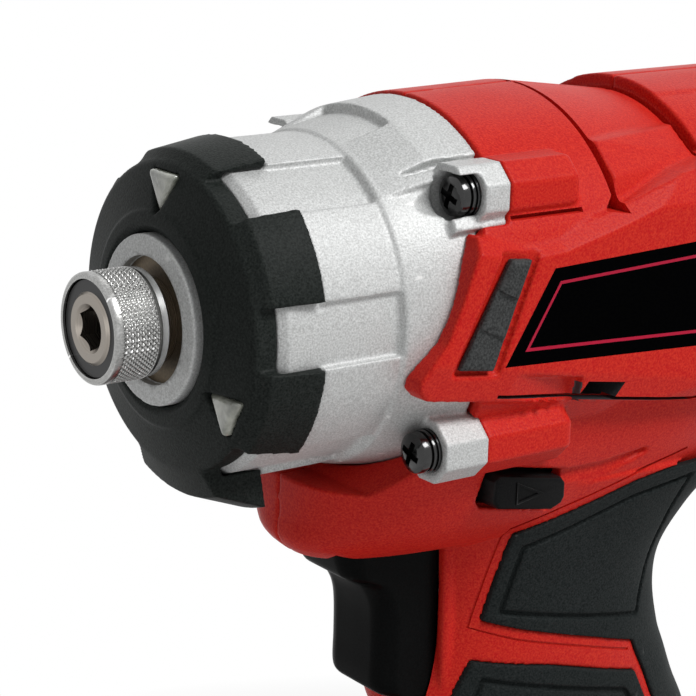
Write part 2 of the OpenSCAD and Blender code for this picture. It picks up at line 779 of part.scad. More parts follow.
// Channel that the battery's rail block slides in
module rail_channel() {
    g = move_gap;
    block([-big, -rail_half_w - g, foot_z - 1], [rail_end + g, rail_half_w + g, channel_top]);
    block(
        [-big, -rail_half_w - rail_flange - g, battery_top + rail_h - rail_flange_h - g],
        [rail_end + g, rail_half_w + rail_flange + g, channel_top]
    );
    block([rail_end, -rail_half_w, foot_z - 1], [foot_rear - 3, rail_half_w, channel_top]);
    block(
        [terminal_x - 2 * lead_r, -battery_lead_y - 2 * lead_r, channel_top - 1],
        [terminal_x + 2 * lead_r, battery_lead_y + 2 * lead_r, floor_z + 1]
    );
    block(
        [-big, -button_half_w, foot_z - 1],
        [button_x + button_len + 8, button_half_w, foot_z + latch_h + 0.6]
    );
}

// Opening for the trigger and slot for the direction selector
module control_openings() {
    g = move_gap;
    block(
        [chin_x + 5.9, -trigger_half_w - g, trigger_low - g],
        [switch_x, trigger_half_w + g, chin_z + wall + 1]
    );
    block(
        [selector_x - selector_len / 2 - g, -big, selector_z - selector_h / 2 - g],
        [selector_x + selector_len / 2 + g, big, selector_z + selector_h / 2 + g]
    );
}

// Grooves over the top of the housing
module top_grooves() {
    for (place = [[groove_1, groove_1_r], [groove_2, groove_2_r]]) intersection() {
        tube_x(place[1] + 8, place[1] - groove_d, place[0] - groove_w / 2, place[0] + groove_w / 2);
        block([0, -big, place[1] * 0.52], [big, big, big]);
    }
}

// Slanted vents at the rear and one small vent below the label
module vents() {
    for (k = [0 : 4]) let (x = shell_end - end_round - 13.5 + vent_pitch * k)
        side_plate([[x, 11], [x + vent_w, 11], [x + vent_w - 5, -11], [x - 5, -11]], -big, big);
    side_plate(side_vent_outline, -big, big);
}

// Pillars and holes for the screws that join the halves
module screw_pillars() {
    for (s = shell_screws) translate([s[0], 0, s[1]]) rotate([90, 0, 0])
        cylinder(r = shell_screw_r + 2, h = 2 * foot_half_w, center = true);
}

// Outer form of both halves
module shell_form() {
    barrel_form();
    wing_form();
    difference() {
        loft(neck_stations, 0);
        side_plate(chin_gap, -big, big);
    }
    loft(handle_stations, 0);
}

// Recesses for grip, label and side pad
module trim_recesses() {
    difference() {
        side_plate(grip_outline, -big, big);
        loft(handle_stations, -grip_recess);
        block([0, -big, chin_z + 11], [big, big, big]);
    }
    for (side = [-1, 1]) {
        translate([0, side * wing_y, 0]) side_plate(label_outline, -label_t, label_t);
        translate([0, side * wing_y, 0]) side_plate(pad_outline, -pad_recess, pad_recess);
    }
}

// One half of the housing; the screws come in from the right
module housing_half(side) {
    half(side) difference() {
        shell_form();
        case_form(seat_gap);
        difference() {
            union() {
                barrel_space();
                handle_space();
            }
            screw_pillars();
        }
        trim_recesses();
        rail_channel();
        control_openings();
        top_grooves();
        vents();
        for (s = shell_screws) translate([s[0], 0, s[1]]) rotate([-90, 0, 0]) {
            translate([0, 0, -screw_grip]) cylinder(r = shell_screw_r + run_gap, h = 2 * screw_grip);
            translate([0, 0, screw_grip]) cylinder(r = shell_head_r + seat_gap, h = big);
        }
        for (p = boss_places) translate([0, p[1], p[2]])
            bar_x(case_screw_r + run_gap, p[3] - 1, p[4] - 6);
    }
}

module left_housing() {
    color("firebrick") housing_half(-1);
}

module right_housing() {
    color("firebrick") housing_half(1);
}

// Soft grip over one side and half of the handle's back
module grip_half(side) {
    half(side) intersection() {
        difference() {
            loft(handle_stations, grip_proud);
            loft(handle_stations, -grip_recess + seat_gap);
        }
        difference() {
            side_plate(grip_outline, -big, big);
            control_openings();
            for (s = shell_screws) translate([s[0], screw_grip, s[1]]) rotate([-90, 0, 0])
                cylinder(r = shell_head_r + 2 * seat_gap, h = big);
        }
        block([0, -big, -big], [big, big, chin_z + 10.6]);
    }
}

module left_grip() {
    color("dimgray") grip_half(-1);
}

module right_grip() {
    color("dimgray") grip_half(1);
}

// Flat label plate in its recess
module label_plate(side) {
    y = side * (wing_y - label_t / 2);
    translate([0, y, 0]) side_plate(label_outline, -label_t / 2, label_t / 2);
}

module left_label_plate() {
    color("black") label_plate(-1);
}

module right_label_plate() {
    color("black") label_plate(1);
}

// Stepped pad ahead of the label
module side_pad(side) {
    y = side * (wing_y + (pad_proud - pad_recess) / 2);
    half_t = (pad_recess + pad_proud) / 2;
    translate([0, y, 0]) side_plate(pad_outline, -half_t, half_t);
}

module left_side_pad() {
    color("black") side_pad(-1);
}

module right_side_pad() {
    color("black") side_pad(1);
}

// Die-cast case around hammer and gear
module hammer_case() {
    color("silver") difference() {
        union() {
            turned([
                [0, snout_x], [snout_r, snout_x], [snout_r, drum_x], [drum_r - 1.2, drum_x],
                [drum_r, drum_x + 1.4], [drum_r, ridge_x], [ridge_r, ridge_x], [flare_r, shell_x],
                [spigot_r, shell_x + 0.5], [spigot_r, gear_end + plate_t], [0, gear_end + plate_t]
            ]);
            for (span = petal_spans) turned_sector([
                [drum_r - 2, land_x], [land_r, land_x], [land_r, ridge_x], [drum_r - 2, ridge_x]
            ], span[0], span[1]);
            turned_sector([
                [spigot_r - 1, brow_x], [brow_front_r, brow_x], [brow_r, case_boss_end],
                [spigot_r - 1, case_boss_end]
            ], -brow_half, brow_half);
            for (span = brow_ramps) turned_sector([
                [spigot_r - 1, ridge_x + 1], [ridge_r + 0.1, ridge_x + 1], [brow_front_r, brow_x + 0.1],
                [spigot_r - 1, brow_x + 0.1]
            ], span[0], span[1]);
            for (p = boss_places) boss(p, p[3], 0);
        }
        turned([
            [0, snout_x - 1], [bush_r + 0.15, snout_x - 1], [bush_r + 0.15, snout_x + 1.5],
            [bush_r, snout_x + 1.5], [bush_r, bush_end + 0.4], [bush_r + 2.8, bush_end + 0.4],
            [bush_r + 2.8, drum_x + 4], [chamber_r - 2.4, drum_x + 4], [chamber_r, drum_x + 8],
            [chamber_r, ring_x], [ring_r + 0.05, ring_x], [ring_r + 0.05, big], [0, big]
        ]);
        for (p = boss_places) translate([0, p[1], p[2]]) {
            bar_x(case_screw_r + seat_gap, 0, big);
            bar_x(case_head_r + seat_gap, p[0] - 2 * case_head_h, p[0] + case_head_seat);
        }
    }
}

// Window of one lamp as a prism pointing at the axis
module lamp_prism(g, x0, x1) {
    for (a = lamp_angles) translate([x0, 0, 0]) along_x() rotate([0, 0, 180 + a]) linear_extrude(x1 - x0)
        polygon([
            [lamp_in_r - 2 * g, 0], [lamp_out_r + g, lamp_half_w + 1.6 * g],
            [lamp_out_r + g, -lamp_half_w - 1.6 * g]
        ]);
}

// Soft bumper with six petals around the snout
module nose_bumper() {
    rear = drum_x - 0.1;
    color("black") difference() {
        union() {
            turned([
                [snout_r + seat_gap, bumper_x + 0.8], [bumper_rim_r, bumper_x],
                [bumper_cone_r, bumper_cone_x], [bumper_cone_r + 0.6, bumper_cone_x + 0.5],
                [bumper_cone_r + 0.6, rear], [snout_r + seat_gap, rear]
            ]);
            for (span = [for (k = [0 : 4]) petal_spans[k]]) turned_sector([
                [bumper_cone_r - 1, bumper_cone_x - 0.3], [bumper_cone_r, bumper_cone_x],
                [petal_front_r, bumper_cone_x + 2.4], [petal_rear_r, petal_end],
                [drum_r + seat_gap, petal_end], [drum_r + seat_gap, rear], [bumper_cone_r - 1, rear]
            ], span[0], span[1]);
            turned_sector([
                [bumper_cone_r - 1, bumper_cone_x - 0.3], [bumper_cone_r, bumper_cone_x],
                [petal_front_r + 2.6, bumper_cone_x + 2.4], [keel_r, petal_end],
                [drum_r + seat_gap, petal_end], [drum_r + seat_gap, rear], [bumper_cone_r - 1, rear]
            ], petal_spans[5][0], petal_spans[5][1]);
        }
        lamp_prism(0.1, 0, board_x + 0.1);
        tube_x(bumper_cone_r - 0.4, snout_r + 1, board_x - 0.1, drum_x + 1);
    }
}

module led_lenses() {
    color("lightyellow") lamp_prism(0, bumper_x + 1, board_x);
}

module led_board() {
    color("darkgreen") tube_x(bumper_cone_r - 0.6, snout_r + 1.2, board_x, board_x + board_t);
}

// Knurled sleeve that frees the bit when it is pulled forward
module bit_collar() {
    groove_x = collar_len - collar_flange;
    color("lightgray") turned([
        [collar_bore_r, 0], [collar_r - 0.5, 0], [collar_r, 0.5], [collar_r, groove_x - 0.6],
        [collar_r - 0.8, groove_x - 0.3], [collar_r - 0.8, groove_x],
        [collar_r - 0.2, groove_x], [collar_r - 0.2, collar_len],
        [nose_r + run_gap, collar_len], [nose_r + run_gap, web_x0], [collar_bore_r, web_x0]
    ]);
}

module collar_spring() {
    color("gray")
        coil_x(retainer_set + retainer_t + 0.1, web_x0 - 0.1, (nose_r + collar_bore_r) / 2, collar_wire, 3);
}

module collar_retainer() {
    color("dimgray") tube_x(
        collar_bore_r - move_gap / 2, nose_r, retainer_set, retainer_set + retainer_t
    );
}

module bit_balls() {
    color("lightgray") for (side = [-1, 1])
        translate([ball_x, side * (nose_r - bit_ball_r), 0]) sphere(bit_ball_r);
}

// Anvil: bit socket in front, two ears behind
module anvil() {
    color("rosybrown") difference() {
        union() {
            turned([
                [0, 0], [nose_r - 0.5, 0], [nose_r, 0.5], [nose_r, collar_stop_x], [journal_r, collar_stop_x],
                [journal_r, bush_end + 0.3], [bush_r - 1.1, bush_end + 0.3], [bush_r - 1.1, ear_x + ear_len],
                [0, ear_x + ear_len]
            ]);
            intersection() {
                block([ear_x, -ear_w / 2, -ear_r], [ear_x + ear_len, ear_w / 2, ear_r]);
                bar_x(ear_r, 0, big);
            }
        }
        translate([-1, 0, 0]) along_x() cylinder(d = hex_af / cos(30), h = hex_depth + 1, $fn = 6);
        turned([[0, -1], [mouth_r + 1, -1], [mouth_r - 1, 1], [0, 1]]);
        translate([ball_x, 0, 0]) rotate([90, 0, 0])
            cylinder(r = bit_ball_r + run_gap, h = 4 * nose_r, center = true);
        bar_x(pilot_r + run_gap, bush_end - 1, big);
    }
}

module anvil_bush() {
    color("darkgoldenrod") tube_x(bush_r, journal_r + run_gap, snout_x + 1.5, bush_end);
}

// Hammer with two lugs in front and a spring space behind
module hammer() {
    color("slategray") difference() {
        union() {
            bar_x(hammer_r, hammer_x, hammer_x + hammer_len);
            intersection() {
                block([ear_x + 0.6, -ear_r, -ear_w / 2], [hammer_x, ear_r, ear_w / 2]);
                bar_x(ear_r, 0, big);
            }
        }
        bar_x(cam_r + run_gap, 0, big);
        tube_x(bush_r - 1.1 + move_gap, 1, 0, ear_x + ear_len + 0.6);
        tube_x(
            hammer_spring_r + hammer_wire / 2 + 1, hammer_spring_r - hammer_wire / 2 - 1.3, hammer_floor, big
        );
        for (side = [-1, 1]) translate([0, 0, side * cam_r])
            bar_x(cam_ball_r + move_gap, hammer_x - 1, hammer_floor + 1);
    }
}

module hammer_spring() {
    color("gray") coil_x(hammer_floor + 0.1, carrier_x - 0.1, hammer_spring_r, hammer_wire, 4);
}

// Shaft with the cam and the two plates that carry the planets
module cam_shaft() {
    color("silver") difference() {
        union() {
            bar_x(pilot_r, bush_end, ear_x + ear_len + 1);
            bar_x(cam_r, ear_x + ear_len + 0.3, carrier_x);
            bar_x(carrier_r, carrier_x, carrier_x + carrier_front);
            bar_x(carrier_r, carrier_back_x, carrier_end);
            bar_x(hub_r, carrier_back_x, gear_end + plate_t - 0.4);
            intersection() {
                difference() {
                    bar_x(carrier_r, carrier_x, carrier_end);
                    block([0, -carrier_r / 2 - 1, -big], [big, carrier_r / 2 + 1, big]);
                }
                block([0, -big, -3], [big, big, 3]);
            }
        }
        for (side = [-1, 1]) {
            translate([0, 0, side * planet_orbit]) bar_x(pin_r, carrier_x + 1, gear_end + 1);
            translate([hammer_x + 4, 0, side * cam_r]) sphere(cam_ball_r + run_gap);
        }
        bar_x(sun_hole_r, carrier_x + carrier_front - 1, big);
    }
}

module cam_balls() {
    color("lightgray") for (side = [-1, 1]) translate([hammer_x + 4, 0, side * cam_r]) sphere(cam_ball_r);
}

// One planet; its outward tooth stands in a gap of the ring
module planet(side) {
    translate([0, 0, side * planet_orbit]) difference() {
        gear_x(planet_teeth, planet_x, planet_x + planet_w, side > 0 ? 180 : 0);
        bar_x(pin_r + run_gap, 0, big);
    }
}

module planet_gear_a() {
    color("tan") planet(1);
}

module planet_gear_b() {
    color("tan") planet(-1);
}

module planet_pins() {
    color("lightgray") for (side = [-1, 1])
        translate([0, 0, side * planet_orbit]) bar_x(pin_r, carrier_x + 1, carrier_end);
}

// Ring gear held in the case
module ring_gear() {
    pitch = gear_m * ring_teeth / 2;
    color("gray") difference() {
        bar_x(ring_r, ring_x, gear_end);
        along_x() linear_extrude(big)
            polygon(gear_points(ring_teeth, pitch - addendum, pitch + dedendum, -backlash / 2));
    }
}

// Plate that closes the gearbox and carries shaft and motor
module gearbox_plate() {
    color("dimgray") tube_x(ring_r, hub_r + run_gap, gear_end, gear_end + plate_t);
}

module motor_pinion() {
    color("silver") difference() {
        gear_x(sun_teeth, planet_x - 0.5, gear_end + plate_t - 1, 0);
        bar_x(pinion_bore_r, 0, big);
    }
}

// Shaft with laminations and commutator
module motor_rotor() {
    color("peru") difference() {
        union() {
            bar_x(pinion_bore_r, planet_x - 0.5, can_x);
            bar_x(shaft_r, gear_end + plate_t - 1, shaft_end);
            bar_x(rotor_r, rotor_x, rotor_x + rotor_len);
            bar_x(commutator_r, commutator_x, commutator_x + 8);
        }
        for (k = [0 : 4]) rotate([72 * k, 0, 0])
            block([0, -0.8, rotor_r - 3], [rotor_x + rotor_len + 1, 0.8, rotor_r + 1]);
    }
}

// Cooling fan on the shaft, with flat blades
module motor_fan() {
    reach = can_r - can_wall - 1.2;
    color("white") {
        difference() {
            union() {
                bar_x(reach, fan_x, fan_x + 1.2);
                for (k = [0 : 8]) rotate([40 * k, 0, 0])
                    block([fan_x + 1, -0.6, shaft_r + 1], [fan_x + fan_len, 0.6, reach - 1]);
                bar_x(shaft_r + 2, fan_x, fan_x + fan_len);
            }
            bar_x(shaft_r, 0, big);
        }
    }
}

module motor_can() {
    color("darkgray") difference() {
        bar_x(can_r, can_x, can_x + can_len);
        bar_x(can_r - can_wall, can_x + can_front, big);
        bar_x(shaft_r + run_gap, 0, big);
        for (k = [0 : 3]) rotate([90 * k + 45, 0, 0]) translate([0, 0, 12]) bar_x(2.4, 0, can_x + 5);
    }
}

// Rear cap with bearing and brush holders
module motor_end_cap() {
    x0 = can_x + can_len;
    color("black") difference() {
        union() {
            bar_x(can_r, x0, x0 + cap_len);
            for (side = [-1, 1]) translate([motor_tag_x, side * motor_lead_y, 0])
                block([-2, -2, -can_r - tag_h], [2, 2, -can_r + 1.6]);
        }
        bar_x(can_r - 3, x0 - 1, x0 + cap_len - 3);
        bar_x(shaft_r + run_gap, 0, big);
    }
    color("black") for (side = [-1, 1]) difference() {
        block(
            [x0, min(side * (commutator_r + 1.5), side * (can_r - 2.5)), -brush_w / 2 - 1.4],
            [x0 + cap_len - 2.5, max(side * (commutator_r + 1.5), side * (can_r - 2.5)), brush_w / 2 + 1.4]
        );
        block([x0 + 0.8, -big, -brush_w / 2 - 0.05], [x0 + 5.2, big, brush_w / 2 + 0.05]);
    }
}

module battery_leads() {
    color("maroon") for (side = [-1, 1]) lead(battery_route, side * battery_lead_y);
}

module motor_leads() {
    color("maroon") for (side = [-1, 1]) lead(motor_route, side * motor_lead_y);
}

// Two curved magnets inside the can
module motor_magnets() {
    r0 = rotor_r + 0.8;
    r1 = can_r - can_wall;
    x0 = (can_x + can_front + rotor_x) / 2;
    x1 = rotor_x + rotor_len + 1;
    color("dimgray") for (side = [90, 270])
        turned_sector([[r0, x0], [r1, x0], [r1, x1], [r0, x1]], side - 65, side + 65);
}

module carbon_brushes() {
    x0 = can_x + can_len;
    color("black") for (side = [-1, 1]) block(
        [x0 + 0.9, min(side * (commutator_r + 0.1), side * (commutator_r + 8)), -brush_w / 2],
        [x0 + 5.1, max(side * (commutator_r + 0.1), side * (commutator_r + 8)), brush_w / 2]
    );
}

// Side view of the trigger, [x, z], with its front moved back by a set distance
function trigger_outline(set) = let (lip = trigger_lip, x = chin_x + set, h = trigger_h) [
    [trigger_back, trigger_top], [x + 8.5, trigger_top], [x + 8.5, lip], [x + 10.1, lip - 0.134 * h],
    [x + 13.8, lip - 0.202 * h], [x + 15.6, lip - 0.277 * h], [x + 16.6, lip - 0.36 * h],
    [x + 17, lip - 0.486 * h], [x + 17.1, lip - 0.866 * h], [x + 18.3, lip - 0.942 * h],
    [x + 21, lip - 0.979 * h], [chin_x + 25, trigger_low], [trigger_back - 1.5, trigger_low],
    [trigger_back, trigger_low + 2]
];

// Finger trigger with a round front, a hollow back and a stem into the switch
module trigger() {
    turns = [0.93, 0.8, 0.5, 0];
    rounds = concat([for (t = turns) [1, t]], [for (k = [3 : -1 : 0]) [-1, turns[k]]]);
    color("black") {
        difference() {
            skin([for (r = rounds) let (y = r[0] * (trigger_half_w - trigger_round * (turns[0] - r[1])))
                [for (p = trigger_outline(trigger_round * (1 - sqrt(1 - r[1] * r[1])))) [p[0], y, p[1]]]]);
            block(
                [trigger_pocket_x, -trigger_half_w + 2.2, trigger_low + trigger_wall],
                [big, trigger_half_w - 2.2, trigger_lip - trigger_wall]
            );
        }
        translate([0, 0, stem_z]) bar_x(stem_r, trigger_pocket_x - 1, switch_x + 8);
    }
}

module trigger_spring() {
    color("gray") translate([0, 0, stem_z])
        coil_x(trigger_pocket_x + 0.1, switch_x - 0.1, stem_r + trigger_wire / 2 + 0.6, trigger_wire, 7);
}

module trigger_switch() {
    color("darkslategray") difference() {
        block([switch_x, -switch_half_w, switch_low], [switch_x + switch_len, switch_half_w, switch_top]);
        translate([0, 0, stem_z]) bar_x(stem_r + run_gap, 0, switch_x + 9 + trigger_travel);
    }
}

// Slide that passes through both halves
module direction_selector() {
    color("black") {
        block(
            [selector_x - selector_len / 2, -selector_reach, selector_z - selector_h / 2],
            [selector_x + selector_len / 2, selector_reach, selector_z + selector_h / 2]
        );
        block(
            [selector_x + 4, -2.5, switch_top + 0.3],
            [selector_x + 8, 2.5, selector_z]
        );
    }
}

// Four pan head screws that hold the case to the housing
module case_screws() {
    color("black") for (p = boss_places) translate([p[0] + case_head_seat, p[1], p[2]]) difference() {
        union() {
            bar_x(case_head_r, -case_head_h, 0);
            bar_x(case_screw_r, -0.5, p[4] - 7 - p[0]);
        }
        for (turn = [0, 90]) rotate([turn, 0, 0])
            block([-big, -0.5, -1.9], [1.5 - case_head_h, 0.5, 1.9]);
    }
}

module housing_screws() {
    color("black") for (s = shell_screws) translate([s[0], 0, s[1]]) rotate([-90, 0, 0]) difference() {
        union() {
            translate([0, 0, -screw_grip + 1]) cylinder(r = shell_screw_r, h = 2 * screw_grip);
            translate([0, 0, screw_grip]) cylinder(r = shell_head_r, h = 2.2);
        }
        for (turn = [0, 90]) rotate([0, 0, turn])
            block([-1.7, -0.45, screw_grip + 0.9], [1.7, 0.45, screw_grip + 3]);
    }
}

// Block with blades at the rear of the rail channel
module terminal_block() {
    color("dimgray") {
        block(
            [rail_end + 1, -rail_half_w + 0.3, foot_z + 0.4],
            [foot_rear - 3.3, rail_half_w - 0.3, battery_top + rail_h]
        );
        for (y = blade_y)
            block(
                [rail_end + 1.5 - blade_len, y - blade_t / 2, blade_low],
                [rail_end + 2, y + blade_t / 2, blade_high]
            );
    }
}

// Upper half of the battery with its rails and terminal slots
module battery_upper_case() {
    g = move_gap;
    color("darkslategray") difference() {
        union() {
            rounded_block(
                battery_front, battery_rear, battery_half_w, battery_split, battery_top, battery_corner
            );
            block([rail_x, -rail_half_w, battery_top - 1], [rail_end, rail_half_w, battery_top + rail_h]);
            block(
                [rail_x, -rail_half_w - rail_flange, battery_top + rail_h - rail_flange_h],
                [rail_end, rail_half_w + rail_flange, battery_top + rail_h]
            );
        }
        rounded_block(
            battery_front + battery_wall, battery_rear - battery_wall, battery_half_w - battery_wall,
            battery_split - 1, battery_top - battery_wall, battery_corner - battery_wall
        );
        for (y = blade_y) block(
            [rail_end - blade_len - 2, y - blade_t / 2 - g, blade_low - g],
            [big, y + blade_t / 2 + g, blade_high + g]
        );
        block(
            [-big, -button_half_w - g, button_seat],
            [button_x + button_len + g, button_half_w + g, big]
        );
    }
    color("darkslategray") block(
        [battery_front + 1, -button_half_w - 2, button_seat - battery_wall],
        [button_x + button_len + battery_wall, button_half_w + 2, button_seat]
    );
}

// Lower half of the battery
module battery_lower_case() {
    color("darkslategray") difference() {
        rounded_block(
            battery_front, battery_rear, battery_half_w, battery_top - battery_h, battery_split,
            battery_corner
        );
        rounded_block(
            battery_front + battery_wall, battery_rear - battery_wall, battery_half_w - battery_wall,
            battery_top - battery_h + battery_wall, big, battery_corner - battery_wall
        );
    }
}

// Two rows of cells across the battery
module battery_cells() {
    mid = (battery_front + battery_rear) / 2 + 3;
    color("seagreen") for (row = [-1, 1], k = [0 : cell_count - 1])
        translate([mid + (k - (cell_count - 1) / 2) * cell_pitch, 0, battery_split + row * cell_pitch / 2])
            rotate([90, 0, 0]) cylinder(r = cell_r, h = cell_len, center = true);
}

// Release button with its latch
module battery_button() {
    color("firebrick") {
        difference() {
            block([button_x, -button_half_w, button_low], [button_x + button_len, button_half_w, button_top]);
            translate([button_x + button_len / 2, 0, button_low - 1]) cylinder(r = 3, h = 4);
        }
        block(
            [button_x + 4, -button_half_w + 2, button_top - 1],
            [button_x + button_len, button_half_w - 2, foot_z + latch_h]
        );
    }
}

module button_spring() {
    color("gray") translate([button_x + button_len / 2, 0, button_seat + 0.1]) rotate([0, -90, 0])
        coil_x(0, button_low + 3 - button_seat - 0.2, 2, button_wire, 3);
}

left_housing();
right_housing();
left_grip();
right_grip();
left_label_plate();
right_label_plate();
left_side_pad();
right_side_pad();
hammer_case();
nose_bumper();
led_lenses();
led_board();
bit_collar();
collar_spring();
collar_retainer();
bit_balls();
anvil();
anvil_bush();
hammer();
hammer_spring();
cam_shaft();
cam_balls();
planet_gear_a();
planet_gear_b();
planet_pins();
ring_gear();
gearbox_plate();
motor_pinion();
motor_rotor();
motor_fan();
motor_can();
motor_magnets();
motor_end_cap();
carbon_brushes();
trigger();
trigger_spring();
trigger_switch();
direction_selector();
case_screws();
housing_screws();
terminal_block();
battery_leads();
motor_leads();
battery_upper_case();
battery_lower_case();
battery_cells();
battery_button();
button_spring();
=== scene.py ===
"""Looks of the cordless impact driver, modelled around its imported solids."""

import json
import logging
import math
from collections.abc import Callable, Iterable, Sequence
from dataclasses import dataclass, field
from enum import Enum

import bpy
from mathutils import Matrix, Vector

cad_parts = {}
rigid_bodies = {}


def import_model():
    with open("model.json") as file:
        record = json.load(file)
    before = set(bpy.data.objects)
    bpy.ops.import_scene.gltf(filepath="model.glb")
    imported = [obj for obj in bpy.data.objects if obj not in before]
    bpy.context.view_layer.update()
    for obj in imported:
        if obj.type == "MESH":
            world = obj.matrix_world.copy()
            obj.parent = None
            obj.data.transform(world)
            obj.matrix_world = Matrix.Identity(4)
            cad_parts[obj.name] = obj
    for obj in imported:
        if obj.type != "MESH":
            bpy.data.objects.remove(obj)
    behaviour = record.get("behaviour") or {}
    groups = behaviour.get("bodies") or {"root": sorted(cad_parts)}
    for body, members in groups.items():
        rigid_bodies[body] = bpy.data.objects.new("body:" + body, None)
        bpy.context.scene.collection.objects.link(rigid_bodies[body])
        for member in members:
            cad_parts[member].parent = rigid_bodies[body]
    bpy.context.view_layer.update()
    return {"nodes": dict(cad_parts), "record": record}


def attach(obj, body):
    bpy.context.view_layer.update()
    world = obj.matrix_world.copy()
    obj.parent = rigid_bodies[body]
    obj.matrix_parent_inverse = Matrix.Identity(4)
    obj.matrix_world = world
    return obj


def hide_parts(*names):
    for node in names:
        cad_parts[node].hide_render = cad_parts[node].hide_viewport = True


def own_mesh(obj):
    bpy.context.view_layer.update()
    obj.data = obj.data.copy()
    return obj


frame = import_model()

LOG = logging.getLogger("driver")
MM = 0.001
# Corners closer than this, in metres, become one
WELD = 1e-7
CAD_WELD = 1e-6
# Past either side of the tool, in millimetres
ASIDE = 60.0

Flat = tuple[float, float]
Point = tuple[float, float, float]
Station = tuple[float, float, float, float, float]
Colour = tuple[float, float, float]


class Body(str, Enum):
    """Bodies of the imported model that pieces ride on."""

    FRAME = "frame"
    SPINDLE = "spindle"
    ANVIL = "anvil_body"
    COLLAR = "collar"
    TRIGGER = "trigger_body"
    SELECTOR = "selector"
    BATTERY = "battery"
    BUTTON = "release_button"


class Along(Enum):
    """Axis that a flat outline is given its depth along."""

    X = 0
    Y = 1
    Z = 2


class Join(str, Enum):
    """Ways to combine two solids."""

    ADD = "UNION"
    CUT = "DIFFERENCE"
    KEEP = "INTERSECT"


# Modelling moves


def deselect() -> None:
    """Leaves edit mode and deselects everything."""
    if bpy.context.mode != "OBJECT":
        bpy.ops.object.mode_set(mode="OBJECT")
    bpy.ops.object.select_all(action="DESELECT")


def pick(obj: bpy.types.Object) -> bpy.types.Object:
    """Makes an object the only selected and active one."""
    deselect()
    obj.select_set(True)
    bpy.context.view_layer.objects.active = obj
    return obj


def edit(obj: bpy.types.Object) -> None:
    """Opens an object in edit mode with all of it selected."""
    pick(obj)
    bpy.ops.object.mode_set(mode="EDIT")
    bpy.ops.mesh.select_all(action="SELECT")


def settle(obj: bpy.types.Object, name: str) -> bpy.types.Object:
    """Closes edit mode with outward faces and puts the object's place into its mesh.

    Args:
        obj: Object in edit mode.
        name: Name that it gets.

    Returns:
        The same object, at the origin.
    """
    bpy.ops.mesh.select_all(action="SELECT")
    bpy.ops.mesh.normals_make_consistent(inside=False)
    pick(obj)
    bpy.ops.object.transform_apply(location=True, rotation=True, scale=True)
    obj.name = name
    return obj


def linked(name: str, data: bpy.types.ID) -> bpy.types.Object:
    """Puts a new object with its data into the scene."""
    obj = bpy.data.objects.new(name, data)
    bpy.context.scene.collection.objects.link(obj)
    return obj


def added(name: str) -> bpy.types.Object:
    """Settles the primitive that was added last."""
    obj = bpy.context.object
    bpy.ops.object.mode_set(mode="EDIT")
    return settle(obj, name)


def shaded(obj: bpy.types.Object, degrees: float) -> bpy.types.Object:
    """Shades a piece smooth, apart from edges sharper than an angle."""
    pick(obj)
    bpy.ops.object.shade_smooth_by_angle(angle=math.radians(degrees))
    return obj


def chain(points: Sequence[Point], closed: bool) -> bpy.types.Object:
    """Draws a line of edges by extruding one vertex from point to point.

    Args:
        points: Corners in millimetres.
        closed: Whether the last corner joins the first.

    Returns:
        The line, open in edit mode with all of it selected.
    """
    deselect()
    here = Vector(points[0]) * MM
    bpy.ops.mesh.primitive_plane_add(size=MM, location=here)
    obj = bpy.context.object
    bpy.ops.object.mode_set(mode="EDIT")
    bpy.ops.mesh.select_mode(type="VERT")
    bpy.ops.mesh.merge(type="CENTER")
    for point in (*points[1:], *points[: int(closed)]):
        there = Vector(point) * MM
        bpy.ops.mesh.extrude_vertices_move(TRANSFORM_OT_translate={"value": there - here})
        here = there
    bpy.ops.mesh.select_all(action="SELECT")
    bpy.ops.mesh.remove_doubles(threshold=WELD)
    return obj


def turned(name: str, profile: Sequence[Flat], steps: int = 160) -> bpy.types.Object:
    """Spins a profile right round the drive axis.

    Args:
        name: Name of the piece.
        profile: Corners as radius and place along the axis.
        steps: Facets around.

    Returns:
        The closed round solid.
    """
    solid = profile[0][0] == 0 and profile[-1][0] == 0
    obj = chain([(x, 0, r) for r, x in profile], closed=not solid)
    bpy.ops.mesh.spin(steps=steps, angle=math.tau, center=(0, 0, 0), axis=(1, 0, 0))
    bpy.ops.mesh.select_all(action="SELECT")
    bpy.ops.mesh.remove_doubles(threshold=WELD)
    return settle(obj, name)


def sector(
    name: str, profile: Sequence[Flat], start: float, end: float, draft: float = 0
) -> bpy.types.Object:
    """Spins a profile between two angles from the top, towards the left side.

    Args:
        name: Name of the piece.
        profile: Corners as radius and place along the axis.
        start: First angle in degrees.
        end: Last angle in degrees.
        draft: Degrees that the sides lean out per millimetre towards the axis.

    Returns:
        The closed solid.
    """
    out = max(r for r, _ in profile)
    corners = []
    for r, x in profile:
        a = math.radians(start - draft * (out - r))
        corners.append((x, -r * math.sin(a), r * math.cos(a)))
    obj = chain(corners, closed=True)
    bpy.ops.mesh.edge_face_add()
    steps = max(4, round((end - start) / 2))
    bpy.ops.mesh.spin(steps=steps, angle=-math.radians(end - start), center=(0, 0, 0), axis=(1, 0, 0))
    return settle(obj, name)


def prism(name: str, outline: Sequence[Flat], low: float, high: float, along: Along) -> bpy.types.Object:
    """Fills an outline and extrudes it.

    Args:
        name: Name of the piece.
        outline: Corners in the plane across the axis, in axis order.
        low: Start of the extrusion.
        high: End of the extrusion.
        along: Axis of the extrusion.

    Returns:
        The closed solid.
    """
    corners = [tuple(c[: along.value]) + (low,) + tuple(c[along.value :]) for c in map(list, outline)]
    obj = chain(corners, closed=True)
    bpy.ops.mesh.edge_face_add()
    step = Vector((0, 0, 0))
    step[along.value] = (high - low) * MM
    bpy.ops.mesh.extrude_region_move(TRANSFORM_OT_translate={"value": step})
    return settle(obj, name)


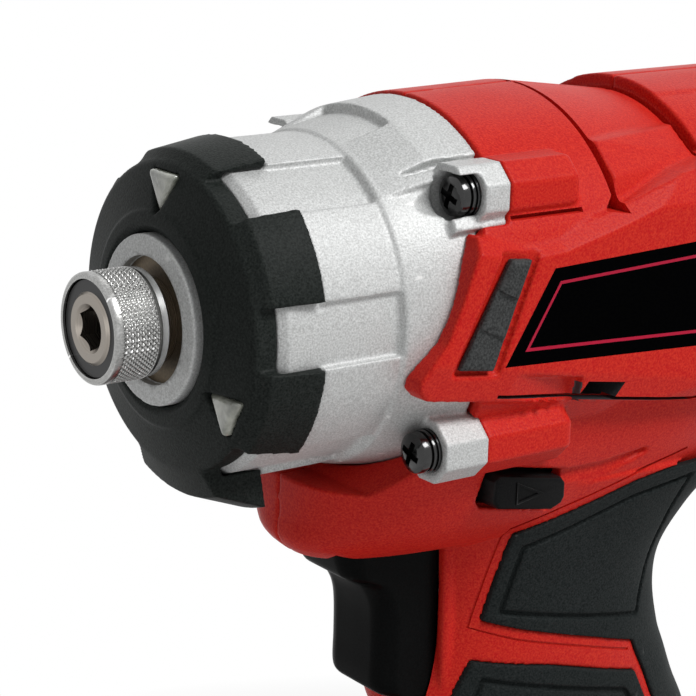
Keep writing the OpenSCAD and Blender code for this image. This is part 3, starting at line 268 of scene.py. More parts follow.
def block(name: str, low: Point, high: Point) -> bpy.types.Object:
    """Block between two corners in millimetres."""
    deselect()
    mid = (Vector(low) + Vector(high)) * MM / 2
    bpy.ops.mesh.primitive_cube_add(size=1, location=mid, scale=(Vector(high) - Vector(low)) * MM)
    return added(name)


def bar(name: str, start: Point, end: Point, radius: float, sides: int = 32) -> bpy.types.Object:
    """Round bar between two points in millimetres.

    Args:
        name: Name of the piece.
        start: Middle of one end.
        end: Middle of the other end.
        radius: Radius of the bar.
        sides: Facets around.

    Returns:
        The closed bar.
    """
    deselect()
    a, b = Vector(start) * MM, Vector(end) * MM
    bpy.ops.mesh.primitive_cylinder_add(
        vertices=sides, radius=radius * MM, depth=(b - a).length, location=(a + b) / 2,
        rotation=(b - a).to_track_quat("Z", "Y").to_euler(),
    )
    return added(name)


def cone(
    name: str, start: Point, end: Point, radius_0: float, radius_1: float, sides: int = 40
) -> bpy.types.Object:
    """Round cutter along the drive axis whose radius changes.

    Args:
        name: Name of the piece.
        start: Middle of its front end.
        end: Middle of its rear end.
        radius_0: Radius at the front.
        radius_1: Radius at the rear.
        sides: Facets around.

    Returns:
        The closed solid.
    """
    deselect()
    mid = (Vector(start) + Vector(end)) * MM / 2
    bpy.ops.mesh.primitive_cone_add(
        vertices=sides, radius1=radius_0 * MM, radius2=radius_1 * MM, depth=(end[0] - start[0]) * MM,
        location=mid, rotation=(0, math.pi / 2, 0),
    )
    return added(name)


def flowing(points: Sequence[Flat], count: int) -> list[Flat]:
    """Puts points along a smooth curve through the given ones.

    Args:
        points: Points that the curve passes.
        count: Points per stretch.

    Returns:
        The denser list of points.
    """
    dense = []
    for i in range(len(points) - 1):
        p = [points[max(i - 1, 0)], points[i], points[i + 1], points[min(i + 2, len(points) - 1)]]
        for k in range(count):
            t = k / count
            w = (-t**3 + 2 * t**2 - t, 3 * t**3 - 5 * t**2 + 2, -3 * t**3 + 4 * t**2 + t, t**3 - t**2)
            dense.append(tuple(sum(a * q[j] for a, q in zip(w, p)) / 2 for j in (0, 1)))
    return dense + [tuple(points[-1])]


def skin(name: str, rings: Sequence[Sequence[Point]]) -> bpy.types.Object:
    """Closed skin over a stack of rings, which no single primitive could give.

    Args:
        name: Name of the piece.
        rings: Rings of equal length in millimetres, low to high.

    Returns:
        The closed solid.
    """
    n, last = len(rings[0]), len(rings) - 1
    faces = [tuple(range(n))[::-1], tuple(last * n + i for i in range(n))]
    for k in range(last):
        for i in range(n):
            j = (i + 1) % n
            faces.append((k * n + i, k * n + j, (k + 1) * n + j, (k + 1) * n + i))
    mesh = bpy.data.meshes.new(name)
    mesh.from_pydata([Vector(p) * MM for ring in rings for p in ring], [], faces)
    obj = linked(name, mesh)
    edit(obj)
    return settle(obj, name)


def smooth_stations(stations: Sequence[Station], step: float) -> list[Station]:
    """Fills in sections between given ones along smooth curves.

    Args:
        stations: Sections, low to high.
        step: Greatest rise between two sections in millimetres.

    Returns:
        The denser list of sections.
    """
    slopes = []
    for i in range(len(stations)):
        a, b = stations[max(i - 1, 0)], stations[min(i + 1, len(stations) - 1)]
        slopes.append([(q - p) / (b[0] - a[0]) for p, q in zip(a, b)])
    dense = []
    for i in range(len(stations) - 1):
        a, b = stations[i], stations[i + 1]
        rise = b[0] - a[0]
        count = max(1, math.ceil(rise / step))
        for k in range(count):
            t = k / count
            h = (2 * t**3 - 3 * t**2 + 1, t**3 - 2 * t**2 + t, 3 * t**2 - 2 * t**3, t**3 - t**2)
            dense.append(tuple(
                h[0] * p + h[1] * rise * m + h[2] * q + h[3] * rise * n
                for p, m, q, n in zip(a, slopes[i], b, slopes[i + 1])
            ))
    return dense + [tuple(stations[-1])]


def loft(
    name: str, stations: Sequence[Station], grow: float, step: float = 1.5, sides: int = 120
) -> bpy.types.Object:
    """Upright solid through rounded sections.

    Args:
        name: Name of the piece.
        stations: Sections as height, front, back, half width and roundness.
        grow: Distance that the sections grow by.
        step: Greatest rise between two sections.
        sides: Points around each section.

    Returns:
        The closed solid.
    """
    rings = []
    for z, front, back, half, round_n in smooth_stations(stations, step):
        mid, a, b, p = (front + back) / 2, (back - front) / 2 + grow, half + grow, 2 / round_n
        ring = []
        for i in range(sides):
            t = math.tau * (i + 0.5) / sides
            c, s = math.cos(t), math.sin(t)
            ring.append((mid + a * math.copysign(abs(c) ** p, c), b * math.copysign(abs(s) ** p, s), z))
        rings.append(ring)
    return skin(name, rings)


def cad_copy(name: str, node: str) -> bpy.types.Object:
    """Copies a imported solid's mesh into a new object with its corners merged."""
    obj = linked(name, frame["nodes"][node].data.copy())
    obj.data.materials.clear()
    edit(obj)
    bpy.ops.mesh.remove_doubles(threshold=CAD_WELD)
    pick(obj)
    return obj


def copy_of(obj: bpy.types.Object, name: str) -> bpy.types.Object:
    """Copies an object with a mesh of its own."""
    return linked(name, obj.data.copy())


def mirrored(obj: bpy.types.Object, name: str) -> bpy.types.Object:
    """Copies a piece of the left side to the right side."""
    twin = copy_of(obj, name)
    edit(twin)
    bpy.ops.transform.resize(value=(1, -1, 1), center_override=(0, 0, 0))
    bpy.ops.mesh.flip_normals()
    pick(twin)
    return twin


def rotated(obj: bpy.types.Object, degrees: float, centre: Point, axis: Along) -> bpy.types.Object:
    """Turns a mesh right-handed about an axis through a point in millimetres."""
    edit(obj)
    bpy.ops.transform.rotate(
        value=-math.radians(degrees), orient_axis=axis.name, center_override=Vector(centre) * MM
    )
    pick(obj)
    return obj


def shaped(obj: bpy.types.Object, kind: str, **settings: object) -> bpy.types.Object:
    """Adds a modifier, sets it and applies it.

    Args:
        obj: Object to change.
        kind: Blender's name of the modifier.
        **settings: Values for the modifier.

    Returns:
        The same object.
    """
    pick(obj)
    bpy.ops.object.modifier_add(type=kind)
    mod = obj.modifiers[-1]
    for key, value in settings.items():
        setattr(mod, key, value)
    bpy.ops.object.modifier_apply(modifier=mod.name)
    return obj


def combine(obj: bpy.types.Object, how: Join, *others: bpy.types.Object) -> bpy.types.Object:
    """Combines solids into the first one and uses the others up."""
    for other in others:
        shaped(obj, "BOOLEAN", operation=how.value, solver="MANIFOLD", object=other)
        if not obj.data.polygons:
            raise RuntimeError(f"{obj.name}: nothing left after {how.name} with {other.name}")
        bpy.data.objects.remove(other)
    return obj


def moulded(obj: bpy.types.Object, voxel: float, rounds: int, most: int) -> bpy.types.Object:
    """Rounds all edges a little, as a moulded or cast piece has them.

    Args:
        obj: Closed solid.
        voxel: Grain of the new mesh in millimetres.
        rounds: Smoothing rounds.
        most: Greatest number of triangles that is kept.

    Returns:
        The same object with smooth shading.
    """
    shaped(obj, "REMESH", mode="VOXEL", voxel_size=voxel * MM, adaptivity=0)
    shaped(obj, "SMOOTH", factor=0.5, iterations=rounds)
    count = 2 * len(obj.data.polygons)
    if count > most:
        shaped(obj, "DECIMATE", decimate_type="COLLAPSE", ratio=most / count)
    pick(obj)
    bpy.ops.object.shade_smooth()
    return obj


def bevelled(obj: bpy.types.Object, width: float, segments: int, angle: float = 30) -> bpy.types.Object:
    """Rounds the sharp edges of a plain solid and shades it smooth between them."""
    shaped(
        obj, "BEVEL", width=width * MM, segments=segments, limit_method="ANGLE",
        angle_limit=math.radians(angle), harden_normals=False,
    )
    return shaded(obj, angle)


def bevel_where(
    obj: bpy.types.Object, chosen: Callable[[Vector, Vector], bool], width: float, segments: int
) -> bpy.types.Object:
    """Bevels the edges whose two ends pass a test.

    Args:
        obj: Closed solid.
        chosen: Test of an edge's two ends.
        width: Width of the bevel in millimetres.
        segments: Facets across the bevel.

    Returns:
        The same object.
    """
    edit(obj)
    bpy.ops.mesh.select_all(action="DESELECT")
    pick(obj)
    for edge in obj.data.edges:
        edge.select = chosen(*(obj.data.vertices[i].co for i in edge.vertices))
    bpy.ops.object.mode_set(mode="EDIT")
    bpy.ops.mesh.bevel(offset=width * MM, segments=segments, affect="EDGES")
    return settle(obj, obj.name)


def inset(outline: Sequence[Flat], distance: float) -> list[Flat]:
    """Moves every side of an outline inwards.

    Args:
        outline: Corners of a flat shape.
        distance: Distance inwards in millimetres, negative for outwards.

    Returns:
        The corners of the smaller shape.
    """
    n = len(outline)
    ahead = [*outline[1:], outline[0]]
    area = sum(a[0] * b[1] - b[0] * a[1] for a, b in zip(outline, ahead))
    turn = 1 if area > 0 else -1
    lines = []
    for i in range(n):
        (x0, y0), (x1, y1) = outline[i], outline[(i + 1) % n]
        size = math.hypot(x1 - x0, y1 - y0)
        nx, ny = -turn * (y1 - y0) / size, turn * (x1 - x0) / size
        lines.append((nx, ny, nx * x0 + ny * y0 + distance))
    corners = []
    for i in range(n):
        (a, b, c), (d, e, f) = lines[i - 1], lines[i]
        det = a * e - b * d
        corners.append(((c * e - b * f) / det, (a * f - c * d) / det))
    return corners


def strip(path: Sequence[Flat], width: float) -> list[Flat]:
    """Outline of a narrow band along an open path.

    Args:
        path: Points along the middle of the band.
        width: Width of the band in millimetres.

    Returns:
        The corners of the band.
    """
    near, away = [], []
    for i, (x, z) in enumerate(path):
        a, b = path[max(i - 1, 0)], path[min(i + 1, len(path) - 1)]
        size = math.hypot(b[0] - a[0], b[1] - a[1])
        dx, dz = (a[1] - b[1]) / size * width / 2, (b[0] - a[0]) / size * width / 2
        near.append((x + dx, z + dz))
        away.append((x - dx, z - dz))
    return near + away[::-1]


def octagon(y: float, z: float, reach: float) -> list[Flat]:
    """Corners of an upright octagon about a point, in y and z."""
    r = reach / math.cos(math.pi / 8)
    turns = [math.pi * (2 * k + 1) / 8 for k in range(8)]
    return [(y + r * math.cos(turn), z + r * math.sin(turn)) for turn in turns]


# Shader groups and finishes


def group_tree(
    name: str, inputs: Iterable[tuple[str, str, float]], outputs: Iterable[tuple[str, str]]
) -> bpy.types.NodeTree:
    """Starts a shader group with named sockets.

    Args:
        name: Name of the group.
        inputs: Name, socket type and default of each input.
        outputs: Name and socket type of each output.

    Returns:
        The tree with its input and output nodes named "in" and "out".
    """
    tree = bpy.data.node_groups.new(name, "ShaderNodeTree")
    for label, kind, default in inputs:
        socket = tree.interface.new_socket(label, in_out="INPUT", socket_type=kind)
        if kind == "NodeSocketFloat":
            socket.default_value = default
    for label, kind in outputs:
        tree.interface.new_socket(label, in_out="OUTPUT", socket_type=kind)
    tree.nodes.new("NodeGroupInput").name = "in"
    tree.nodes.new("NodeGroupOutput").name = "out"
    return tree


def node(tree: bpy.types.NodeTree, kind: str, **settings: object) -> bpy.types.Node:
    """Adds a shader node and sets its fields."""
    made = tree.nodes.new(kind)
    for key, value in settings.items():
        setattr(made, key, value)
    return made


def ranged(
    tree: bpy.types.NodeTree, source: bpy.types.NodeSocket, span: tuple[float, float, float, float]
) -> bpy.types.NodeSocket:
    """Maps a value from one range to another.

    Args:
        tree: Tree that the node goes into.
        source: Value to map.
        span: From low, from high, to low, to high.

    Returns:
        The mapped value.
    """
    made = node(tree, "ShaderNodeMapRange", clamp=True)
    tree.links.new(source, made.inputs["Value"])
    for label, value in zip(("From Min", "From Max", "To Min", "To Max"), span):
        made.inputs[label].default_value = value
    return made.outputs["Result"]


class Groups:
    """Shader groups that several finishes share, each built once."""

    contrast: tuple[float, float, float, float] = (0.3, 0.7, 0, 1)
    cloud_scale: float = 45
    edge_noise_scale: float = 260
    edge_noise_share: float = 0.08
    wear_and_highlight_width: float = 0.08

    def __init__(self) -> None:
        """Builds all groups."""
        self.grain = self._grain()
        self.wear_and_highlight = self._wear_and_highlight()
        self.brush = self._brush()

    def _grain(self) -> bpy.types.NodeTree:
        """Fine pebbled texture of moulded and cast surfaces, with slow clouding."""
        tree = group_tree(
            "moulded_grain",
            [("Vector", "NodeSocketVector", 0), ("Size", "NodeSocketFloat", 2000)],
            [("Speck", "NodeSocketFloat"), ("Height", "NodeSocketFloat"), ("Cloud", "NodeSocketFloat")],
        )
        put, take = tree.nodes["in"], tree.nodes["out"]
        fine = node(tree, "ShaderNodeTexNoise", noise_dimensions="3D")
        fine.inputs["Detail"].default_value = 2.0
        tree.links.new(put.outputs["Vector"], fine.inputs["Vector"])
        tree.links.new(put.outputs["Size"], fine.inputs["Scale"])
        cloud = node(tree, "ShaderNodeTexNoise", noise_dimensions="3D")
        cloud.inputs["Scale"].default_value = self.cloud_scale
        cloud.inputs["Detail"].default_value = 3.0
        tree.links.new(put.outputs["Vector"], cloud.inputs["Vector"])
        tree.links.new(ranged(tree, fine.outputs["Fac"], self.contrast), take.inputs["Speck"])
        tree.links.new(fine.outputs["Fac"], take.inputs["Height"])
        tree.links.new(ranged(tree, cloud.outputs["Fac"], self.contrast), take.inputs["Cloud"])
        return tree

    def _wear_and_highlight(self) -> bpy.types.NodeTree:
        """Mask of outer edges that get a lighter tone, partly rubbed wear and partly painted highlight."""
        tree = group_tree(
            "edge_wear", [("Vector", "NodeSocketVector", 0), ("Reach", "NodeSocketFloat", 0.56)],
            [("Mask", "NodeSocketFloat")],
        )
        put, take = tree.nodes["in"], tree.nodes["out"]
        form = node(tree, "ShaderNodeNewGeometry")
        edge_blend = node(tree, "ShaderNodeTexNoise", noise_dimensions="3D")
        edge_blend.inputs["Scale"].default_value = self.edge_noise_scale
        tree.links.new(put.outputs["Vector"], edge_blend.inputs["Vector"])
        lean = node(tree, "ShaderNodeMath", operation="MULTIPLY_ADD")
        tree.links.new(edge_blend.outputs["Fac"], lean.inputs[0])
        lean.inputs[1].default_value = self.edge_noise_share
        tree.links.new(form.outputs["Pointiness"], lean.inputs[2])
        edge = node(tree, "ShaderNodeMapRange", clamp=True)
        tree.links.new(lean.outputs["Value"], edge.inputs["Value"])
        tree.links.new(put.outputs["Reach"], edge.inputs["From Min"])
        far = node(tree, "ShaderNodeMath", operation="ADD")
        tree.links.new(put.outputs["Reach"], far.inputs[0])
        far.inputs[1].default_value = self.wear_and_highlight_width
        tree.links.new(far.outputs["Value"], edge.inputs["From Max"])
        tree.links.new(edge.outputs["Result"], take.inputs["Mask"])
        return tree

    def _brush(self) -> bpy.types.NodeTree:
        """Fine turning marks around the drive axis."""
        tree = group_tree(
            "turning_marks", [("Vector", "NodeSocketVector", 0), ("Size", "NodeSocketFloat", 3000)],
            [("Height", "NodeSocketFloat"), ("Streak", "NodeSocketFloat")],
        )
        put, take = tree.nodes["in"], tree.nodes["out"]
        parts = node(tree, "ShaderNodeSeparateXYZ")
        tree.links.new(put.outputs["Vector"], parts.inputs["Vector"])
        marks = node(tree, "ShaderNodeTexNoise", noise_dimensions="1D")
        marks.inputs["Detail"].default_value = 3.0
        tree.links.new(parts.outputs["X"], marks.inputs["W"])
        tree.links.new(put.outputs["Size"], marks.inputs["Scale"])
        tree.links.new(marks.outputs["Fac"], take.inputs["Height"])
        tree.links.new(ranged(tree, marks.outputs["Fac"], self.contrast), take.inputs["Streak"])
        return tree


@dataclass(frozen=True)
class Finish:
    """One finish: a colour with grain, clouding and lighter outer edges, which are partly rubbed wear and
    partly painted highlight.
    """

    name: str
    colour: Colour
    speck: Colour
    roughness: tuple[float, float]
    metallic: float = 0.0
    size_mm: float = 0.5
    bump_mm: float = 0.02
    wear_and_highlight: Colour | None = None
    wear_and_highlight_reach: float = 0.58
    coat: float = 0.0
    coat_roughness: float = 0.03
    turned: bool = False
    specular: float = 0.5

    def build(self, groups: Groups) -> bpy.types.Material:
        """Makes the material.

        Args:
            groups: Shared shader groups.

        Returns:
            The finished material.
        """
        mat = bpy.data.materials.new(self.name)
        mat.use_nodes = True
        tree = mat.node_tree
        shader = tree.nodes["Principled BSDF"]
        shader.inputs["Metallic"].default_value = self.metallic
        shader.inputs["Coat Weight"].default_value = self.coat
        shader.inputs["Coat Roughness"].default_value = self.coat_roughness
        shader.inputs["Specular IOR Level"].default_value = self.specular
        place = node(tree, "ShaderNodeTexCoord")
        grain = node(tree, "ShaderNodeGroup", node_tree=groups.brush if self.turned else groups.grain)
        grain.inputs["Size"].default_value = 1 / (self.size_mm * MM)
        tree.links.new(place.outputs["Object"], grain.inputs["Vector"])
        speck = grain.outputs["Streak" if self.turned else "Speck"]
        mix = node(tree, "ShaderNodeMix", data_type="RGBA")
        mix.inputs["A"].default_value = (*self.colour, 1)
        mix.inputs["B"].default_value = (*self.speck, 1)
        tree.links.new(speck, mix.inputs["Factor"])
        colour = mix.outputs["Result"]
        # Lighter colour on sharp outer edges: partly rubbed wear, partly painted highlight where rounded
        # edges catch light
        if self.wear_and_highlight is not None:
            edge = node(tree, "ShaderNodeGroup", node_tree=groups.wear_and_highlight)
            edge.inputs["Reach"].default_value = self.wear_and_highlight_reach
            tree.links.new(place.outputs["Object"], edge.inputs["Vector"])
            edge_blend = node(tree, "ShaderNodeMix", data_type="RGBA")
            edge_blend.inputs["B"].default_value = (*self.wear_and_highlight, 1)
            tree.links.new(edge.outputs["Mask"], edge_blend.inputs["Factor"])
            tree.links.new(colour, edge_blend.inputs["A"])
            colour = edge_blend.outputs["Result"]
        tree.links.new(colour, shader.inputs["Base Color"])
        cloud = grain.outputs["Streak" if self.turned else "Cloud"]
        tree.links.new(ranged(tree, cloud, (0, 1, *self.roughness)), shader.inputs["Roughness"])
        bump = node(tree, "ShaderNodeBump")
        bump.inputs["Strength"].default_value = 1.0
        bump.inputs["Distance"].default_value = self.bump_mm * MM
        tree.links.new(grain.outputs["Height"], bump.inputs["Height"])
        tree.links.new(bump.outputs["Normal"], shader.inputs["Normal"])
        return mat


# Edge colours below tint sharp outer edges lighter: partly rubbed wear, partly painted highlight
FINISHES: dict[str, Finish] = {
    f.name: f
    for f in (
        # Red shell: its orange edge colour is partly rubbed wear and partly painted highlight
        Finish("shell_red", (0.50, 0.005, 0.008), (0.66, 0.036, 0.018), (0.36, 0.46), size_mm=0.36,
               bump_mm=0.06, wear_and_highlight=(0.72, 0.05, 0.03), wear_and_highlight_reach=0.66, specular=0.10),
        Finish("grip_charcoal", (0.006, 0.0085, 0.0085), (0.024, 0.028, 0.028), (0.55, 0.68),
               size_mm=0.36, bump_mm=0.06, wear_and_highlight=(0.06, 0.063, 0.063), wear_and_highlight_reach=0.62, specular=0.06),
        Finish("label_gloss", (0.0008, 0.0008, 0.001), (0.0016, 0.0016, 0.0018), (0.16, 0.24),
               bump_mm=0.002, specular=0.0),
        Finish("outline_crimson", (0.42, 0.008, 0.035), (0.46, 0.012, 0.045), (0.30, 0.36),
               bump_mm=0.002, specular=0.1),
        Finish("pad_charcoal", (0.016, 0.017, 0.017), (0.064, 0.066, 0.066), (0.42, 0.54), size_mm=0.4,
               bump_mm=0.06, wear_and_highlight=(0.10, 0.10, 0.10), wear_and_highlight_reach=0.60, specular=0.12),
        Finish("cast_silver", (0.42, 0.425, 0.42), (0.68, 0.69, 0.685), (0.44, 0.54), metallic=0.15,
               size_mm=0.32, bump_mm=0.06, wear_and_highlight=(0.80, 0.80, 0.79), wear_and_highlight_reach=0.60),
        Finish("bumper_black", (0.006, 0.008, 0.007), (0.026, 0.030, 0.028), (0.42, 0.52), size_mm=0.36,
               bump_mm=0.06, wear_and_highlight=(0.05, 0.053, 0.052), wear_and_highlight_reach=0.67, specular=0.06),
        Finish("board_green", (0.02, 0.13, 0.05), (0.03, 0.18, 0.07), (0.35, 0.5)),
        Finish("knurl_steel", (0.26, 0.26, 0.255), (0.40, 0.40, 0.39), (0.22, 0.32), metallic=1.0,
               size_mm=0.3, bump_mm=0.004, wear_and_highlight=(0.9, 0.9, 0.9)),
        Finish("spring_steel", (0.32, 0.32, 0.33), (0.45, 0.45, 0.46), (0.30, 0.42), metallic=1.0,
               turned=True, size_mm=0.2, bump_mm=0.003),
        Finish("ring_black", (0.012, 0.012, 0.013), (0.03, 0.03, 0.03), (0.30, 0.42), metallic=0.6,
               turned=True, size_mm=0.2, bump_mm=0.004),
        Finish("ball_steel", (0.62, 0.62, 0.62), (0.7, 0.7, 0.7), (0.08, 0.14), metallic=1.0,
               bump_mm=0.001),
        Finish("anvil_bronze_grey", (0.23, 0.205, 0.18), (0.33, 0.30, 0.265), (0.24, 0.36),
               metallic=1.0, turned=True, size_mm=0.25, bump_mm=0.006),
        # Bush: bronze darkened to painted shade, for the dark gap behind the collar
        Finish("bush_bronze", (0.07, 0.055, 0.038), (0.12, 0.092, 0.06), (0.40, 0.52), metallic=1.0,
               bump_mm=0.01),
        Finish("hammer_steel", (0.16, 0.16, 0.165), (0.26, 0.26, 0.27), (0.38, 0.5), metallic=1.0,
               bump_mm=0.02),
        Finish("gear_steel", (0.38, 0.38, 0.38), (0.50, 0.50, 0.50), (0.26, 0.38), metallic=1.0,
               turned=True, size_mm=0.3, bump_mm=0.004),
        Finish("rotor_copper", (0.42, 0.20, 0.08), (0.52, 0.27, 0.12), (0.32, 0.44), metallic=1.0,
               turned=True, size_mm=0.5, bump_mm=0.02),
        Finish("magnet_dark", (0.05, 0.05, 0.055), (0.08, 0.08, 0.085), (0.6, 0.7)),
        Finish("can_steel", (0.42, 0.42, 0.42), (0.52, 0.52, 0.52), (0.28, 0.4), metallic=1.0,
               turned=True, size_mm=0.4, bump_mm=0.004),
        # Dark inner plastic, also used as painted shade on the walls inside the side vent
        Finish("inner_plastic", (0.02, 0.02, 0.022), (0.04, 0.04, 0.043), (0.5, 0.62)),
        Finish("fan_plastic", (0.62, 0.62, 0.60), (0.72, 0.72, 0.70), (0.45, 0.55)),
        Finish("carbon", (0.012, 0.012, 0.012), (0.025, 0.025, 0.025), (0.6, 0.75)),
        Finish("trigger_black", (0.0016, 0.0018, 0.0018), (0.004, 0.0044, 0.0044), (0.30, 0.40),
               size_mm=0.35, bump_mm=0.01, wear_and_highlight=(0.012, 0.012, 0.012), wear_and_highlight_reach=0.62, specular=0.03),
        # Selector: its light edge colour is painted highlight, a bright outline along the bevels of the tab
        Finish("selector_black", (0.0016, 0.0016, 0.0018), (0.006, 0.006, 0.0062), (0.34, 0.46),
               size_mm=0.35, bump_mm=0.02, wear_and_highlight=(0.05, 0.05, 0.05), wear_and_highlight_reach=0.62, specular=0.06),
        Finish("screw_black", (0.002, 0.002, 0.002), (0.006, 0.006, 0.006), (0.14, 0.22), metallic=0.2,
               bump_mm=0.004, wear_and_highlight=(0.10, 0.10, 0.10), wear_and_highlight_reach=0.62, coat=0.4),
        Finish("lead_red", (0.30, 0.012, 0.012), (0.36, 0.02, 0.02), (0.4, 0.5)),
        Finish("battery_black", (0.012, 0.013, 0.014), (0.034, 0.036, 0.038), (0.48, 0.58),
               size_mm=0.45, bump_mm=0.06, wear_and_highlight=(0.06, 0.06, 0.063), wear_and_highlight_reach=0.62, specular=0.08),
        Finish("cell_wrap", (0.03, 0.22, 0.15), (0.04, 0.27, 0.19), (0.25, 0.35), bump_mm=0.004),
        Finish("button_red", (0.48, 0.005, 0.011), (0.58, 0.013, 0.018), (0.38, 0.46), size_mm=0.42,
               bump_mm=0.06, specular=0.2),
        Finish("lens_milky", (0.17, 0.18, 0.15), (0.48, 0.49, 0.42), (0.10, 0.25), size_mm=1000 / 420,
               bump_mm=0.4, coat=1.0, coat_roughness=0.04),
    )
}


class Paint:
    """Materials made from the finishes, each made once."""

    def __init__(self) -> None:
        """Builds the shared groups and all materials."""
        groups = Groups()
        self.made = {name: finish.build(groups) for name, finish in FINISHES.items()}

    def dress(self, obj: bpy.types.Object, *names: str) -> None:
        """Gives an object its materials, first one first."""
        obj.data.materials.clear()
        for name in names:
            obj.data.materials.append(self.made[name])


def ship(obj: bpy.types.Object, body: Body, slot: str, *nodes: str) -> None:
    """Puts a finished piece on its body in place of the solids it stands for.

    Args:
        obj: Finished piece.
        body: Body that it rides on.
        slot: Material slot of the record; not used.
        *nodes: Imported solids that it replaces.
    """
    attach(obj, body.value)
    if nodes:
        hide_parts(*nodes)
    LOG.info("%s: %d faces, rides on %s", obj.name, len(obj.data.polygons), body.value)


# Sub-assemblies


@dataclass
class Studio:
    """White studio with soft light and the photograph's camera."""

    place: Point = (-187.15, -321.77, 98.8)
    right: Point = (0.8070, -0.5900, 0.0269)
    up: Point = (0.1341, 0.2275, 0.9645)
    back: Point = (-0.5752, -0.7747, 0.2627)
    focal_px: float = 2400.0
    frame_px: float = 696.0
    sensor_mm: float = 36.0
    ambient: float = 0.13
    floor_x: float = 100.0
    floor_z: float = -192.1
    floor_m: float = 6.0
    shadow_m: tuple[float, float] = (0.13, 0.26)

    def build(self) -> None:
        """Sets up camera, world, floor and lamps."""
        self._camera()
        self._world()
        self._floor()
        self._lamp("key", (300, -500, 600), target=(70, 0, 0), size=300, watts=5.6)
        self._lamp("fill", (-520, -420, 120), target=(60, 0, -10), size=420, watts=0.45)
        self._lamp("rim", (320, 260, 560), target=(80, 0, 0), size=360, watts=0.35)
        bpy.context.scene.view_settings.view_transform = "Standard"

    def _camera(self) -> None:
        """Camera fitted to the photograph."""
        data = bpy.data.cameras.new("photo_camera")
        data.sensor_width = self.sensor_mm
        data.lens = self.sensor_mm * self.focal_px / self.frame_px
        data.clip_start = 0.01
        cam = linked("photo_camera", data)
        turn = Matrix((self.right, self.up, self.back)).transposed()
        turn = turn.to_quaternion().to_matrix().to_4x4()
        cam.matrix_world = Matrix.Translation(Vector(self.place) * MM) @ turn
        bpy.context.scene.camera = cam

    @staticmethod
    def _seen(tree: bpy.types.NodeTree) -> bpy.types.NodeSocket:
        """Value that is 1 for rays that show the background."""
        path = node(tree, "ShaderNodeLightPath")
        both = node(tree, "ShaderNodeMath", operation="MAXIMUM")
        tree.links.new(path.outputs["Is Camera Ray"], both.inputs[0])
        tree.links.new(path.outputs["Is Glossy Ray"], both.inputs[1])
        every = node(tree, "ShaderNodeMath", operation="MAXIMUM")
        tree.links.new(both.outputs["Value"], every.inputs[0])
        tree.links.new(path.outputs["Is Transmission Ray"], every.inputs[1])
        return every.outputs["Value"]

    def _world(self) -> None:
        """White where it is seen, a plain pale light elsewhere."""
        world = bpy.data.worlds.new("studio")
        bpy.context.scene.world = world
        world.use_nodes = True
        tree = world.node_tree
        light = tree.nodes["Background"]
        light.inputs["Color"].default_value = (1, 1, 1, 1)
        light.inputs["Strength"].default_value = self.ambient
        white = node(tree, "ShaderNodeBackground")
        white.inputs["Color"].default_value = (1, 1, 1, 1)
        white.inputs["Strength"].default_value = 1.0
        mix = node(tree, "ShaderNodeMixShader")
        tree.links.new(self._seen(tree), mix.inputs["Fac"])
        tree.links.new(light.outputs["Background"], mix.inputs[1])
        tree.links.new(white.outputs["Background"], mix.inputs[2])
        tree.links.new(mix.outputs["Shader"], tree.nodes["World Output"].inputs["Surface"])

    def _floor(self) -> None:
        """Pale floor that keeps the shadow near the tool and turns white further out."""
        deselect()
        middle = (self.floor_x * MM, 0, self.floor_z * MM)
        bpy.ops.mesh.primitive_plane_add(size=self.floor_m, location=middle)
        floor = bpy.context.object
        bpy.ops.object.transform_apply(location=True)
        floor.name = "floor"
        mat = bpy.data.materials.new("floor_pale")
        mat.use_nodes = True
        tree = mat.node_tree
        shader = tree.nodes["Principled BSDF"]
        shader.inputs["Base Color"].default_value = (0.9, 0.9, 0.9, 1)
        shader.inputs["Roughness"].default_value = 0.9
        place = node(tree, "ShaderNodeTexCoord")
        shift = node(tree, "ShaderNodeVectorMath", operation="DISTANCE")
        shift.inputs[1].default_value = middle
        tree.links.new(place.outputs["Object"], shift.inputs[0])
        far = ranged(tree, shift.outputs["Value"], (*self.shadow_m, 0, 1))
        seen = node(tree, "ShaderNodeMath", operation="MULTIPLY")
        tree.links.new(far, seen.inputs[0])
        tree.links.new(self._seen(tree), seen.inputs[1])
        white = node(tree, "ShaderNodeEmission")
        white.inputs["Strength"].default_value = 1.0
        mix = node(tree, "ShaderNodeMixShader")
        tree.links.new(seen.outputs["Value"], mix.inputs["Fac"])
        tree.links.new(shader.outputs["BSDF"], mix.inputs[1])
        tree.links.new(white.outputs["Emission"], mix.inputs[2])
        tree.links.new(mix.outputs["Shader"], tree.nodes["Material Output"].inputs["Surface"])
        floor.data.materials.append(mat)

    @staticmethod
    def _lamp(name: str, place: Point, target: Point, size: float, watts: float) -> None:
        """Square soft lamp aimed at a point.

        Args:
            name: Name of the lamp.
            place: Middle of the lamp in millimetres.
            target: Point that it faces.
            size: Side length in millimetres.
            watts: Power.
        """
        data = bpy.data.lights.new(name, "AREA")
        data.size = size * MM
        data.energy = watts
        lamp = linked(name, data)
        lamp.location = Vector(place) * MM
        lamp.rotation_euler = (Vector(target) - Vector(place)).to_track_quat("-Z", "Y").to_euler()


